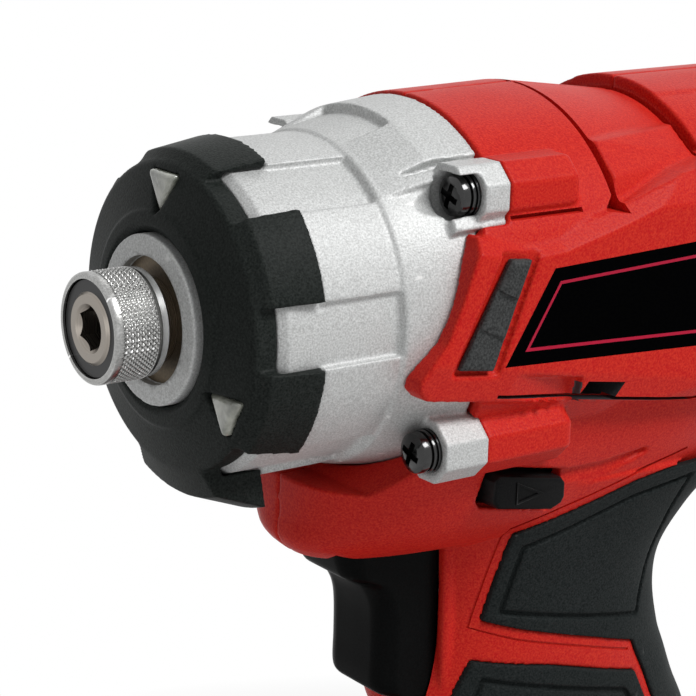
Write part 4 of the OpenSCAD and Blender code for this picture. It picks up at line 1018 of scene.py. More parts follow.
@dataclass
class Bosses:
    """The four screw bosses shared by case and housing."""

    upper: Point = (56.8, 24.2, 20.7)
    lower: Point = (49.2, 26.1, -21.4)
    reach: float = 5.3
    root_r: float = 24.0
    web_low: float = 2.6
    upper_split: float = 62.0
    lower_split: float = 58.0
    upper_end: float = 77.6
    lower_end: float = 77.0

    def places(self) -> list[tuple[Point, float, float]]:
        """Front face, rear face of the case's part and rear end of each boss."""
        found = []
        for side in (-1, 1):
            for (x, y, z), split, end in (
                (self.upper, self.upper_split, self.upper_end),
                (self.lower, self.lower_split, self.lower_end),
            ):
                found.append(((x, side * y, z), split, end))
        return found

    def web(self, place: Point, x0: float, x1: float, half: float) -> bpy.types.Object:
        """Web from a boss down to the round body.

        Args:
            place: Front face of the boss.
            x0: Start of the web along the axis.
            x1: End of the web.
            half: Half of its width.

        Returns:
            The web as a block.
        """
        _, y, z = place
        far = math.hypot(y, z)
        u = (y / far, z / far)
        low, high = self.root_r, far - self.web_low
        corners = [
            (u[0] * r - u[1] * t, u[1] * r + u[0] * t)
            for r, t in ((low, -half), (high, -half), (high, half), (low, half))
        ]
        return prism("web", corners, x0, x1, Along.X)

    def form(self, place: Point, x0: float, x1: float, grow: float) -> bpy.types.Object:
        """One chamfered boss bar along the axis."""
        return prism("boss", octagon(place[1], place[2], self.reach + grow), x0, x1, Along.X)


PETALS: tuple[tuple[float, float], ...] = (
    (-22, 22), (44.2, 75.8), (284.2, 315.8), (98, 132), (228, 262), (158, 202),
)


@dataclass
class HammerCase:
    """Die-cast silver case."""

    bosses: Bosses
    snout_x: float = 11.0
    snout_r: float = 14.15
    drum_x: float = 19.0
    drum_r: float = 26.9
    land_x: float = 26.7
    land_r: float = 28.1
    land_root_r: float = 24.9
    ridge_x: float = 42.0
    ridge_r: float = 28.6
    flare_x: float = 56.5
    flare_r: float = 31.3
    spigot_r: float = 27.6
    end: float = 83.7
    brow_x: float = 52.0
    brow_front_r: float = 32.1
    brow_r: float = 33.0
    brow_half: float = 61.0
    brow_root_r: float = 26.6

    def outside(self) -> bpy.types.Object:
        """Round body with lands, brow, bosses, hoods over the upper screws, troughs and scoops."""
        case = turned("hammer_case_cast", [
            (0, self.snout_x), (self.snout_r, self.snout_x), (self.snout_r, self.drum_x),
            (self.drum_r - 1.2, self.drum_x), (self.drum_r, self.drum_x + 1.4),
            (self.drum_r, self.ridge_x - 0.4), (self.ridge_r, self.ridge_x + 0.3),
            (self.flare_r, self.flare_x), (self.spigot_r, self.flare_x + 0.5),
            (self.spigot_r, self.end), (0, self.end),
        ], 240)
        for start, end in PETALS:
            combine(case, Join.ADD, sector("land", [
                (self.land_root_r, self.land_x), (self.land_r, self.land_x),
                (self.land_r, self.ridge_x + 0.2), (self.land_root_r, self.ridge_x + 0.2),
            ], start, end))
        split = self.bosses.upper_split
        combine(case, Join.ADD, sector("brow", [
            (self.brow_root_r, self.brow_x), (self.brow_front_r, self.brow_x), (self.brow_r, split),
            (self.brow_root_r, split),
        ], -self.brow_half, self.brow_half))
        for start, end in ((17, 44), (-44, -17)):
            combine(case, Join.ADD, sector("ramp", [
                (self.brow_root_r, self.ridge_x + 1), (self.ridge_r + 0.1, self.ridge_x + 1),
                (self.brow_front_r, self.brow_x + 0.1), (self.brow_root_r, self.brow_x + 0.1),
            ], start, end))
        for place, case_end, _ in self.bosses.places():
            combine(case, Join.ADD, self.bosses.form(place, place[0], case_end, 0))
            combine(case, Join.ADD, self.bosses.web(place, place[0] + 2, case_end - 0.9, 4.6))
            if place[2] > 0:
                combine(case, Join.ADD, self.hood(place))
        for (x, y, z), _, _ in self.bosses.places():
            combine(case, Join.CUT, cone("trough", (x - 13.8, y, z), (x - 4.2, y, z), 1.2, 3.4))
            combine(case, Join.CUT, bar("head_seat", (x - 4.8, y, z), (x + 0.4, y, z), 4.05, 40))
        for turn in (38.4, -38.4):
            wedge = skin("scoop", [
                [(45.4, -0.15, 29.3), (45.4, 0.15, 29.3), (45.4, 0.15, 40), (45.4, -0.15, 40)],
                [(54.2, -0.9, 30.4), (54.2, 0.9, 30.4), (54.2, 1.6, 40), (54.2, -1.6, 40)],
                [(62.5, -0.4, 32.3), (62.5, 0.4, 32.3), (62.5, 0.7, 40), (62.5, -0.7, 40)],
            ])
            combine(case, Join.CUT, rotated(wedge, turn, (0, 0, 0), Along.X))
        return case

    @staticmethod
    def hood(place: Point) -> bpy.types.Object:
        """Plate over a screw head, from the brow to the boss."""
        x, y, z = place
        side = math.copysign(1, y)
        outline = [
            (y - side * 7, z + 3.9), (y + side * 3.5, z + 3.9), (y + side * 2.2, z + 5.3),
            (y - side * 7, z + 5.3),
        ]
        return prism("hood", outline, x - 4.0, x + 1, Along.X)

    def build(self, paint: Paint) -> None:
        """Models the case, hollows it and dresses it."""
        case = moulded(self.outside(), voxel=0.36, rounds=2, most=150000)
        combine(case, Join.CUT, turned("chamber", [
            (0, 8), (10.65, 8), (10.65, 12.5), (10.5, 12.5), (10.5, 31.2), (13.3, 31.2), (13.3, 23),
            (22.2, 23), (24.6, 27), (24.6, 67), (25.05, 67), (25.05, 90), (0, 90),
        ], 128))
        for (x, y, z), _, _ in self.bosses.places():
            combine(case, Join.CUT, bar("hole", (x - 3, y, z), (x + 20, y, z), 2.1, 24))
        paint.dress(case, "cast_silver")
        ship(case, Body.FRAME, "cast_silver", "hammer_case")


@dataclass
class NoseBumper:
    """Soft bumper with six petals, and its three lamps."""

    bore_r: float = 14.35
    rim_r: float = 15.6
    front_x: float = 11.8
    cone_r: float = 25.2
    cone_x: float = 14.7
    front_r: float = 27.6
    rear_r: float = 29.0
    end: float = 26.4
    keel_r: float = 33.6
    petal_root_r: float = 27.1
    rear: float = 18.9
    lamp_turns: tuple[float, ...] = (0, 120, 240)

    def window(self, grow: float, x0: float, x1: float) -> list[bpy.types.Object]:
        """Rounded windows that point at the axis.

        Args:
            grow: Distance that they grow by.
            x0: Front.
            x1: Rear.

        Returns:
            One solid per lamp.
        """
        shape = inset([(0, 17.2), (3.9, 24.2), (-3.9, 24.2)], -grow)
        forms = []
        for turn in self.lamp_turns:
            form = prism("window", shape, x0, x1, Along.X)
            bevel_where(form, lambda a, b: abs(a.x - b.x) > 1e-4, width=0.9, segments=4)
            forms.append(rotated(form, turn, (0, 0, 0), Along.X))
        return forms

    def petal(self, start: float, end: float, front_r: float, rear_r: float) -> bpy.types.Object:
        """One petal with leaning sides."""
        return sector("petal", [
            (self.cone_r - 1.2, self.cone_x - 0.3), (self.cone_r, self.cone_x),
            (front_r, self.cone_x + 2.4), (rear_r, self.end), (self.petal_root_r, self.end),
            (self.petal_root_r, self.rear), (self.cone_r - 1.2, self.rear),
        ], start, end, 0.25)

    def build(self, paint: Paint) -> None:
        """Models bumper and lamp windows and dresses them."""
        bumper = turned("nose_bumper_moulded", [
            (self.bore_r, self.front_x + 0.8), (self.rim_r, self.front_x),
            (self.rim_r + 2.2, self.front_x + 0.35), (self.rim_r + 2.4, self.front_x + 0.75),
            (self.cone_r, self.cone_x), (self.cone_r + 0.6, self.cone_x + 0.5),
            (self.cone_r + 0.6, self.rear), (self.bore_r, self.rear),
        ], 220)
        for start, end in PETALS[:5]:
            combine(bumper, Join.ADD, self.petal(start, end, self.front_r, self.rear_r))
        combine(bumper, Join.ADD, self.petal(*PETALS[5], self.front_r + 2.6, self.keel_r))
        combine(bumper, Join.CUT, *self.window(0.12, 5, 17.5))
        moulded(bumper, voxel=0.33, rounds=3, most=150000)
        room = [(15.15, 17.3), (24.8, 17.3), (24.8, 21), (15.15, 21)]
        combine(bumper, Join.CUT, turned("board_room", room, 128))
        paint.dress(bumper, "bumper_black")
        ship(bumper, Body.FRAME, "bumper_black", "nose_bumper")
        lenses = self.window(0, 13.1, 17.35)
        lens = lenses[0]
        for other in lenses[1:]:
            combine(lens, Join.ADD, other)
        lens.name = "lamp_windows"
        bevelled(lens, width=0.35, segments=3)
        paint.dress(lens, "lens_milky")
        ship(lens, Body.FRAME, "lens_clear", "led_lenses")


@dataclass
class BitCollar:
    """Knurled sleeve on the anvil."""

    radius: float = 9.2
    bore_r: float = 8.1
    length: float = 9.6
    flange: float = 1.1
    lip_r: float = 6.05
    lip_x: float = 6.9
    knurl_x: float = 1.4
    rows: int = 70
    facets: int = 504
    pitch: float = 0.9
    lean: float = 0.9
    steep: float = 1.6
    depth: float = 0.26

    def build(self, paint: Paint) -> None:
        """Turns the sleeve, presses the diamond pattern and dresses it."""
        groove = self.length - self.flange
        knurl_0, knurl_1 = self.knurl_x, groove - 0.75
        profile = [
            (self.bore_r, 0.0), (self.bore_r + 0.35, 0), (self.radius - 0.45, 0.0),
            (self.radius - 0.12, 0.18), (self.radius, 0.5), (self.radius, 1.25),
        ]
        for k in range(self.rows + 1):
            profile.append((self.radius, knurl_0 + (knurl_1 - knurl_0) * k / self.rows))
        profile += [
            (self.radius - 0.05, groove - 0.6), (self.radius - 0.8, groove - 0.3),
            (self.radius - 0.8, groove), (self.radius - 0.2, groove), (self.radius - 0.2, self.length),
            (self.lip_r, self.length), (self.lip_r, self.lip_x), (self.bore_r, self.lip_x),
        ]
        collar = turned("bit_collar_knurled", profile, self.facets)
        count = round(math.tau * self.radius / self.pitch)
        for v in collar.data.vertices:
            x, r = v.co.x / MM, math.hypot(v.co.y, v.co.z) / MM
            if knurl_0 < x < knurl_1 and r > self.radius - 0.03:
                turn = math.atan2(v.co.y, v.co.z) / math.tau * count
                lift = (x - knurl_0) / self.pitch * self.lean
                rise = min(abs((turn + lift) % 1 - 0.5), abs((turn - lift) % 1 - 0.5)) * 2
                drop = self.depth * (1 - min(1.0, self.steep * rise))
                v.co.y *= 1 - drop / r
                v.co.z *= 1 - drop / r
        shaded(collar, degrees=28)
        paint.dress(collar, "knurl_steel")
        ship(collar, Body.COLLAR, "collar_steel", "bit_collar")


@dataclass
class CaseScrews:
    """Pan head screws with spring and plain washers in front of the bosses."""

    bosses: Bosses
    head_r: float = 3.8
    head_h: float = 4.0
    seat: float = 0.4

    def screw(self) -> bpy.types.Object:
        """One screw with its head's seat at the origin."""
        r, h = self.head_r, self.head_h
        head = [
            (0, 0), (0.45, 0), (0.72, 0.22), (0.88, 0.65), (0.92, 1.2), (0.92, 1.9), (0.82, 2.1),
            (0.82, 2.3), (0.95, 2.36), (0.97, 2.6), (0.97, 2.9), (0.88, 3.0), (0.88, 3.2), (0.98, 3.26),
            (1, 3.4), (1, h),
        ]
        screw = turned("screw", [(r * a, b - h) for a, b in head] + [(1.9, 0), (1.9, 13.2), (0, 14.4)], 56)
        wing = [(-2.3, -1), (2.3, -1), (2.1, 0.4), (1.2, 1.5), (-1.2, 1.5), (-2.1, 0.4)]
        for turn in (20, 110):
            slot = prism("slot", [(x, y - h) for x, y in wing], -0.55, 0.55, Along.Z)
            rotated(slot, -90, (0, 0, 0), Along.Z)
            combine(screw, Join.CUT, rotated(slot, turn, (0, 0, 0), Along.X))
        return shaded(screw, degrees=35)

    def build(self, paint: Paint) -> None:
        """Copies the screw into the four bosses."""
        first = self.screw()
        copies = []
        for (x, y, z), _, _ in self.bosses.places():
            twin = copy_of(first, "case_screw")
            edit(twin)
            bpy.ops.transform.translate(value=Vector((x + self.seat, y, z)) * MM)
            pick(twin)
            copies.append(twin)
        bpy.data.objects.remove(first)
        deselect()
        for twin in copies:
            twin.select_set(True)
        bpy.context.view_layer.objects.active = copies[0]
        bpy.ops.object.join()
        screws = copies[0]
        screws.name = "case_screws_pan"
        paint.dress(screws, "screw_black")
        ship(screws, Body.FRAME, "screw_black", "case_screws")


NECK: tuple[Station, ...] = (
    (-45.5, 41, 128.4, 14, 2.5), (-43.5, 38.6, 130.4, 17.6, 2.5), (-41.5, 37.4, 132, 19.6, 2.6),
    (-38.5, 37.6, 133.9, 21.7, 2.8), (-33.5, 37.6, 136.4, 23.7, 3.2), (-26.5, 38, 135.6, 26.1, 3.6),
    (-18.5, 41.6, 132.6, 27.3, 3.6),
)
HANDLE: tuple[Station, ...] = (
    (-150, 50, 149, 35.5, 7), (-141, 51, 149, 35, 7), (-137, 56, 147, 31.5, 5), (-132, 67, 143, 24.5, 3.6),
    (-125, 77.6, 139.6, 19.7, 2.8), (-115, 79.6, 137, 17.9, 2.5), (-103.1, 76.6, 135.4, 17.5, 2.5),
    (-90.1, 70.1, 131, 17.5, 2.5), (-83.7, 64.1, 127.8, 17.5, 2.5), (-77.1, 61.2, 125, 17.5, 2.5),
    (-71.8, 62.6, 122.6, 17.5, 2.5), (-62, 64.6, 120.4, 17.5, 2.5), (-54, 64.6, 121.2, 18.1, 2.6),
    (-45.5, 64.6, 126.8, 19.7, 2.8), (-40.5, 64.6, 131.4, 21.3, 3), (-34.5, 64.6, 136.6, 23.9, 3.2),
)
GRIP: tuple[Flat, ...] = (
    (400, -31), (114.6, -34), (100.4, -36.3), (75.8, -43.5), (72.6, -60.5), (80.1, -62.9),
    (95.7, -67.3), (107.8, -71), (112.1, -78.7), (114.6, -84.1), (122, -102), (124, -112),
    (121.6, -112.6), (119.6, -102), (111.9, -83.2), (108.8, -77.4), (86.3, -71), (71, -68.1),
    (68, -74.4), (66.5, -80), (70.5, -92), (82, -124), (400, -124),
)
LABEL: tuple[Flat, ...] = ((69.3, 8.6), (59.5, -7), (114.1, -9.8), (121, 10.2))
PAD: tuple[Flat, ...] = ((59.9, 11.2), (64.2, 10.7), (56.9, -7.2), (49.9, -6.2))
TRIGGER_ROOM: tuple[Point, Point] = ((43.5, -9.4, -75.7), (76.5, 9.4, -41.7))
SCREWS: tuple[Flat, ...] = (
    (98, 24.6), (139, 23), (110, -34), (86, -90.1), (126, -103.3), (76, -131), (124, -131),
)


@dataclass
class Housing:
    """Red clamshell of two halves."""

    bosses: Bosses
    wing_y: float = 33.0
    flat_y: float = 32.2
    wall: float = 2.8
    front_x: float = 56.5
    mid_boss: float = 70.0
    bevel_z: float = 12.0
    vent_x: float = 126.5
    vent_pitch: float = 3.9
    vent_count: int = 5
    groove_deep: float = 1.3
    groove_half: float = 0.55
    wing: tuple[Flat, ...] = (
        (54.7, 15), (52.7, 11.4), (50.2, 4.6), (47.4, -1.6), (44.2, -5.2), (42.6, -7.4), (42.8, -9.4),
        (44.6, -11), (60.2, -13.4), (106, -20), (134, -20), (145, -9), (145, 9), (136, 20), (112, 22.6),
        (100, 21.2), (84, 16.6), (71.5, 13.6), (64, 13.2),
    )
    vent: tuple[Flat, ...] = ((78.4, -12.2), (86.8, -13.5), (85, -16.4), (76.6, -15.1))
    slot: tuple[Flat, ...] = ((63.8, -28), (80.6, -31.1), (80.6, -37.8), (63.8, -34.7))
    line: tuple[Flat, ...] = (
        (112, -31.9), (100, -34.3), (74.2, -41.9), (70.6, -61.8), (79.5, -64.9), (95.1, -69.2), (107, -72.7),
    )

    @staticmethod
    def crease(x: float) -> float:
        """Height of the bend below the label at a place along the panel."""
        return -7.1 - 0.179 * (x - 59.2)

    def barrel(self) -> bpy.types.Object:
        """Round part with its spine, raised band, shoulder and boss bars."""
        arc = []
        for k in range(10):
            a = math.radians(10 * k)
            arc.append((30.6 - 12 * (1 - math.cos(a)), 152 - 12 * (1 - math.sin(a))))
        profile = [(0, self.front_x), (33.4, self.front_x), (33.9, 85.5), (30.6, 109.5), *arc, (0, 152)]
        barrel = turned("housing", profile, 240)
        combine(barrel, Join.KEEP, block("flats", (0, -self.flat_y, -60), (200, self.flat_y, 60)))
        profile = [(20, 110.2), (33.2, 110.2), (33.2, 138.5), (31.5, 140), (20, 140)]
        spine = sector("spine", profile, -19.3, 19.3)
        profile = [(20, 110.2), (33.0, 110.2), (33.0, 120), (32.0, 121.4), (20, 121.4)]
        band = sector("band", profile, -44, 44)
        shoulder = skin("shoulder", [
            [(86.2, -12, 28), (86.2, -22.4, 26.6), (86.2, -27.6, 21.4), (86.2, -29.6, 14), (86.2, -12, 14)],
            [(108.8, -8, 27), (108.8, -17.2, 26.8), (108.8, -22.4, 23.0), (108.8, -27.6, 15),
             (108.8, -8, 15)],
        ])
        combine(barrel, Join.ADD, spine, band, shoulder)
        for place, _, shell_end in self.bosses.places():
            form = self.bosses.form(place, self.front_x, shell_end, 0)
            bevel_where(form, lambda a, b: min(a.x, b.x) > self.mid_boss * MM, width=1.6, segments=3)
            combine(barrel, Join.ADD, form)
        return barrel

    def side_panel(self) -> bpy.types.Object:
        """Side panel with a chamfered upper edge."""
        panel = prism("wing", self.wing, -self.wing_y, 0, Along.Y)
        face, low = -(self.wing_y - 0.1) * MM, self.bevel_z * MM
        bevel_where(
            panel, lambda a, b: max(a.y, b.y) < face and min(a.z, b.z) > low, width=2.6, segments=1
        )
        return combine(panel, Join.KEEP, turned("limit", [(0, 0), (36.8, 0), (36.8, 170), (0, 170)], 200))

    def case_room(self, grow: float) -> list[bpy.types.Object]:
        """Space that the case takes up in the housing's front."""
        case = HammerCase
        land, ridge = case.land_r + grow, case.ridge_r + grow
        flare, spigot = case.flare_r + grow, case.spigot_r + grow
        lip, end = case.flare_x + 0.5 + grow, case.end + grow
        room = turned("case_room", [
            (0, -11), (land, -11), (land, 40), (ridge, case.ridge_x), (flare, case.flare_x + grow),
            (flare, lip), (spigot, lip), (spigot, end), (0, end),
        ], 200)
        split = self.bosses.upper_split + grow
        forms = [room, sector("brow_room", [(25.6, 49), (42, 49), (42, split), (25.6, split)], -61, 61)]
        for place, case_end, _ in self.bosses.places():
            forms.append(self.bosses.form(place, place[0] - 20, case_end, grow))
            forms.append(self.bosses.web(place, place[0] - 20, case_end - 0.9 + grow, 4.6 + grow))
        return forms

    def openings(self) -> list[bpy.types.Object]:
        """Soft recesses around selector and pad, and the bends below the label, in the left half."""
        return [
            prism("selector_pocket", [
                (64.2, -26.9), (63, -28.2), (63, -33.8), (64.2, -35.2), (81, -38.6), (81, -30.4),
            ], -ASIDE, -20.8, Along.Y),
            prism("selector_wedge", [
                (79, -30.4), (79, -37.2), (88, -34.9), (100.5, -30.4), (100.6, -29.4), (90, -30.6),
            ], -ASIDE, -23.6, Along.Y),
            prism("pad_recess", [
                (58.6, 12.4), (66.4, 11.8), (58.4, -8.2), (48.4, -7.2),
            ], -ASIDE, -self.wing_y + 1.3, Along.Y),
            skin("lower_bevel", [
                [(x, -33.05, self.crease(x)), (x, -31.5, self.crease(x) - 7), (x, -45, self.crease(x) - 7),
                 (x, -45, self.crease(x))] for x in (40, 134)
            ]),
            skin("scoop", [
                [(x, -33.2 + deep, self.crease(x) - 1), (x, -32 + deep, self.crease(x) - 5.6),
                 (x, -45, self.crease(x) - 5.6), (x, -45, self.crease(x) - 1)]
                for x, deep in ((57, -0.4), (77, 2.6))
            ]),
        ]

    def crisp_cuts(self) -> list[bpy.types.Object]:
        """Openings and lines with sharp edges in the left half."""
        forms = [
            block("trigger_room", *TRIGGER_ROOM),
            prism("selector_slot", self.slot, -ASIDE, 0, Along.Y),
            prism("side_vent", self.vent, -ASIDE, 0, Along.Y),
            prism("label_recess", LABEL, -ASIDE, -self.wing_y + 0.8, Along.Y),
            prism("notch", [(82.6, 16.2), (86.7, 15.8), (86.0, 19.4)], -ASIDE, -26.6, Along.Y),
            prism("bar_shadow", strip([(62.6, 16.9), (78, 16.9)], 0.8), -ASIDE, -27.4, Along.Y),
            prism("ledge", strip([(59, -12.2), (104, -19.3), (118, -19.3)], 0.6), -ASIDE, -28.6, Along.Y),
        ]
        for x, r in ((85.6, 33.9), (109.5, 30.6)):
            low, high = r - self.groove_deep, r + 8
            front, rear = x - self.groove_half, x + self.groove_half
            ring = [(low, front), (high, front), (high, rear), (low, rear)]
            forms.append(sector("groove", ring, -59, 59))
        for k in range(self.vent_count):
            x = self.vent_x + self.vent_pitch * k
            outline = [(x, 11), (x + 2.4, 11), (x - 2.6, -11), (x - 5, -11)]
            forms.append(prism("rear_vent", outline, -ASIDE, 0, Along.Y))
        engraved = prism("engraved", strip(self.line, 0.5), -ASIDE, -4, Along.Y)
        forms.append(combine(engraved, Join.CUT, loft("floor", HANDLE, -0.3)))
        return forms

    def shade_vent_walls(self, half: bpy.types.Object) -> None:
        """Gives the walls inside the side vent the second, dark finish as painted shade, for the shade
        inside the vent's hollow.
        """
        x0, x1 = min(x for x, _ in self.vent) * MM, max(x for x, _ in self.vent) * MM
        z0, z1 = min(z for _, z in self.vent) * MM, max(z for _, z in self.vent) * MM
        for face in half.data.polygons:
            x, y, z = face.center
            if x0 < x < x1 and z0 < z < z1 and abs(y) < 0.0334 and abs(face.normal.y) < 0.5:
                # Painted shade: the inner walls of the vent take the dark second finish
                face.material_index = 1

    def grip_recess(self) -> bpy.types.Object:
        """Space that the soft grip fills."""
        form = prism("grip_recess", GRIP, -ASIDE, ASIDE, Along.Y)
        combine(form, Join.CUT, loft("core", HANDLE, -1.5))
        return combine(form, Join.CUT, block("above", (0, -90, -34.5), (450, 90, 0)))

    def inside(self) -> bpy.types.Object:
        """Space inside barrel, neck and handle, with its ribs and screw pillars left standing."""
        inner, snug, can = 27.8, 27.8, 19.2
        space = turned("space", [
            (0, 55.5), (snug, 55.5), (snug, 83.9), (inner, 83.9), (inner, 92), (can, 92), (can, 95),
            (inner, 95), (inner, 122), (can, 122), (can, 125), (inner, 125), (inner, 140),
            (18.6, 149.2), (0, 149.2),
        ], 96)
        for name, stations, low in (("grip_space", HANDLE, -138.2), ("neck_space", NECK, -42.7)):
            room = loft(name, stations, -self.wall, 3, 72)
            combine(room, Join.KEEP, block("limit", (0, -90, low), (200, 90, 10)))
            combine(room, Join.CUT, block("chin_roof", (0, -90, -33.4), (53.6, 90, 20)))
            combine(space, Join.ADD, room)
        for x in (82.5, 100.5):
            rib = block("rib", (x, -ASIDE, -76), (x + 2, ASIDE, -43))
            combine(rib, Join.CUT, block("switch", (0, -9.2, -90), (200, 9.2, 0)))
            combine(space, Join.CUT, rib)
        combine(space, Join.CUT, block("shelf", (76.5, -ASIDE, -78.2), (92.5, ASIDE, -76.2)))
        for x, z in SCREWS:
            combine(space, Join.CUT, bar("pillar", (x, -36, z), (x, 36, z), 3.5, 24))
        return space

    def rail_room(self) -> list[bpy.types.Object]:
        """Channel for the battery's rails and the notch for its latch."""
        return [
            block("rail", (-50, -22.4, -151), (132.4, 22.4, -141)),
            block("flange", (-50, -25.9, -145.2), (132.4, 25.9, -141)),
            block("terminals", (132, -22, -151), (146, 22, -141)),
            block("lead_hole", (134.4, -7.6, -142), (139.6, 7.6, -137.2)),
            block("latch", (-50, -14, -151), (58.8, 14, -146.8)),
        ]

    def build(self, paint: Paint) -> None:
        """Models the left half, mirrors it and dresses both."""
        left = self.barrel()
        combine(left, Join.KEEP, block("left_side", (0, -ASIDE, -60), (200, 0, 60)))
        combine(left, Join.ADD, self.side_panel())
        neck = loft("neck", NECK, 0)
        gap = [(0, -31.4), (43.6, -30.6), (50.6, -25), (50.6, 0), (0, 0)]
        combine(neck, Join.CUT, prism("chin_gap", gap, -ASIDE, ASIDE, Along.Y))
        body = loft("body", HANDLE, 0)
        combine(body, Join.ADD, neck, bar("trigger_lip", (67.4, -10.3, -74.4), (67.4, -10.3, -45), 1.3, 32))
        combine(body, Join.KEEP, block("left_side", (0, -ASIDE, -200), (200, 0, 60)))
        combine(left, Join.ADD, body)
        combine(left, Join.CUT, *self.case_room(0.2), *self.openings(), self.grip_recess())
        moulded(left, voxel=0.4, rounds=3, most=165000)
        combine(left, Join.CUT, *self.crisp_cuts(), self.inside(), *self.rail_room())
        for (x, y, z), case_end, shell_end in self.bosses.places():
            if y < 0:
                combine(left, Join.CUT, bar("hole", (case_end - 1, y, z), (shell_end - 6, y, z), 1.95, 20))
        right = mirrored(left, "right_housing_moulded")
        for x, z in SCREWS:
            combine(left, Join.CUT, bar("thread", (x, -9, z), (x, 1, z), 1.55, 20))
            combine(right, Join.CUT, bar("hole", (x, -1, z), (x, 12, z), 1.55, 20))
            combine(right, Join.CUT, bar("counterbore", (x, 9, z), (x, ASIDE, z), 3.1, 28))
        left.name = "left_housing_moulded"
        for half, solid in ((left, "left_housing"), (right, "right_housing")):
            shaped(half, "WEIGHTED_NORMAL", weight=50, keep_sharp=True)
            # The second finish is painted shade on the side vent's inner walls
            paint.dress(half, "shell_red", "inner_plastic")
            self.shade_vent_walls(half)
            ship(half, Body.FRAME, "red_shell", solid)


@dataclass
class Grips:
    """Soft grips let into the handle."""

    proud: float = 0.6
    recess: float = 1.3
    panels: tuple[tuple[Flat, ...], ...] = (
        ((115.2, -37.2), (100.6, -39.2), (77.7, -46.1), (75.0, -59.3), (95, -63.6), (109.1, -66.6)),
        ((72.6, -71.2), (70.2, -75.6), (69.6, -80), (73.6, -92), (84.6, -119.4), (118.6, -119.4),
         (116.6, -102), (108.6, -83.2), (106, -80)),
    )

    def build(self, paint: Paint) -> None:
        """Models the left grip with its grooves, mirrors it and dresses both."""
        grip = loft("left_grip_soft", HANDLE, self.proud)
        combine(grip, Join.KEEP, prism("outline", GRIP, -ASIDE, 0, Along.Y))
        above = block("above", (0, -90, -34.9), (450, 90, 0))
        combine(grip, Join.CUT, loft("core", HANDLE, -self.recess), above)
        combine(grip, Join.CUT, block("trigger_room", *TRIGGER_ROOM))
        for panel in self.panels:
            groove = prism("groove", panel, -ASIDE, -4, Along.Y)
            inner = prism("panel", inset(panel, 0.95), -70, 0, Along.Y)
            combine(groove, Join.CUT, inner, loft("floor", HANDLE, -0.35))
            combine(grip, Join.CUT, groove)
        moulded(grip, voxel=0.3, rounds=4, most=150000)
        other = mirrored(grip, "right_grip_soft")
        for x, z in SCREWS:
            combine(other, Join.CUT, bar("screw_hole", (x, 9, z), (x, ASIDE, z), 3.3, 32))
        for piece, solid in ((grip, "left_grip"), (other, "right_grip")):
            paint.dress(piece, "grip_charcoal")
            ship(piece, Body.FRAME, "grip_black", solid)


@dataclass
class SideTrim:
    """Label plates and side pads on both panels."""

    face_y: float = 33.0
    label_t: float = 0.8
    pad_proud: float = 0.7
    pad_deep: float = 1.0

    def label(self, paint: Paint) -> bpy.types.Object:
        """Left label plate with a thin outline let into its face."""
        plate = prism("left_label_bare", LABEL, -self.face_y, -self.face_y + self.label_t, Along.Y)
        paint.dress(plate, "label_gloss", "outline_crimson")
        edit(plate)
        bpy.ops.mesh.select_mode(type="FACE")
        bpy.ops.mesh.select_all(action="DESELECT")
        pick(plate)
        for face in plate.data.polygons:
            face.select = face.normal.y < -0.9
        bpy.ops.object.mode_set(mode="EDIT")
        bpy.ops.mesh.inset(thickness=0.15 * MM, depth=0.0)
        bpy.ops.mesh.inset(thickness=2.2 * MM, depth=0.0)
        bpy.ops.mesh.inset(thickness=0.55 * MM, depth=-0.04 * MM)
        bpy.ops.mesh.select_more()
        pick(plate)
        faces = [f for f in plate.data.polygons if f.select]
        inner = max(faces, key=lambda f: f.area)
        for face in faces:
            face.material_index = int(face.index != inner.index)
        return plate

    def pad(self) -> bpy.types.Object:
        """Left side pad with two steps across it."""
        rings = []
        for y, shrink in ((self.pad_deep, 0), (-0.1, 0), (-self.pad_proud, 0.8)):
            rings.append([(x, y - self.face_y, z) for x, z in inset(PAD, shrink)])
        pad = skin("left_side_pad_stepped", rings)
        low, high = Vector((53.4, -6.7)), Vector((62.05, 10.95))
        run = (high - low).normalized()
        for share in (0.33, 0.68):
            mid = low + (high - low) * share
            ramp = [(-7, -40), (-7, -self.face_y - 0.55), (0, -self.face_y - 0.05), (0.25, -40)]
            side = Vector((run.y, -run.x))
            rings = []
            for across in (-6, 6):
                rings.append([
                    (mid.x + run.x * s + side.x * across, y, mid.y + run.y * s + side.y * across)
                    for s, y in ramp
                ])
            combine(pad, Join.CUT, skin("step", rings))
        return moulded(pad, voxel=0.22, rounds=2, most=40000)

    def build(self, paint: Paint) -> None:
        """Models the left pieces, mirrors them and dresses all four."""
        label, pad = self.label(paint), self.pad()
        pieces = (
            (label, "left_label_plate"), (mirrored(label, "right_label_bare"), "right_label_plate"),
            (pad, "left_side_pad"), (mirrored(pad, "right_side_pad_stepped"), "right_side_pad"),
        )
        for piece, solid in pieces:
            if "label" in solid:
                ship(piece, Body.FRAME, "label_black", solid)
            else:
                paint.dress(piece, "pad_charcoal")
                ship(piece, Body.FRAME, "pad_black", solid)


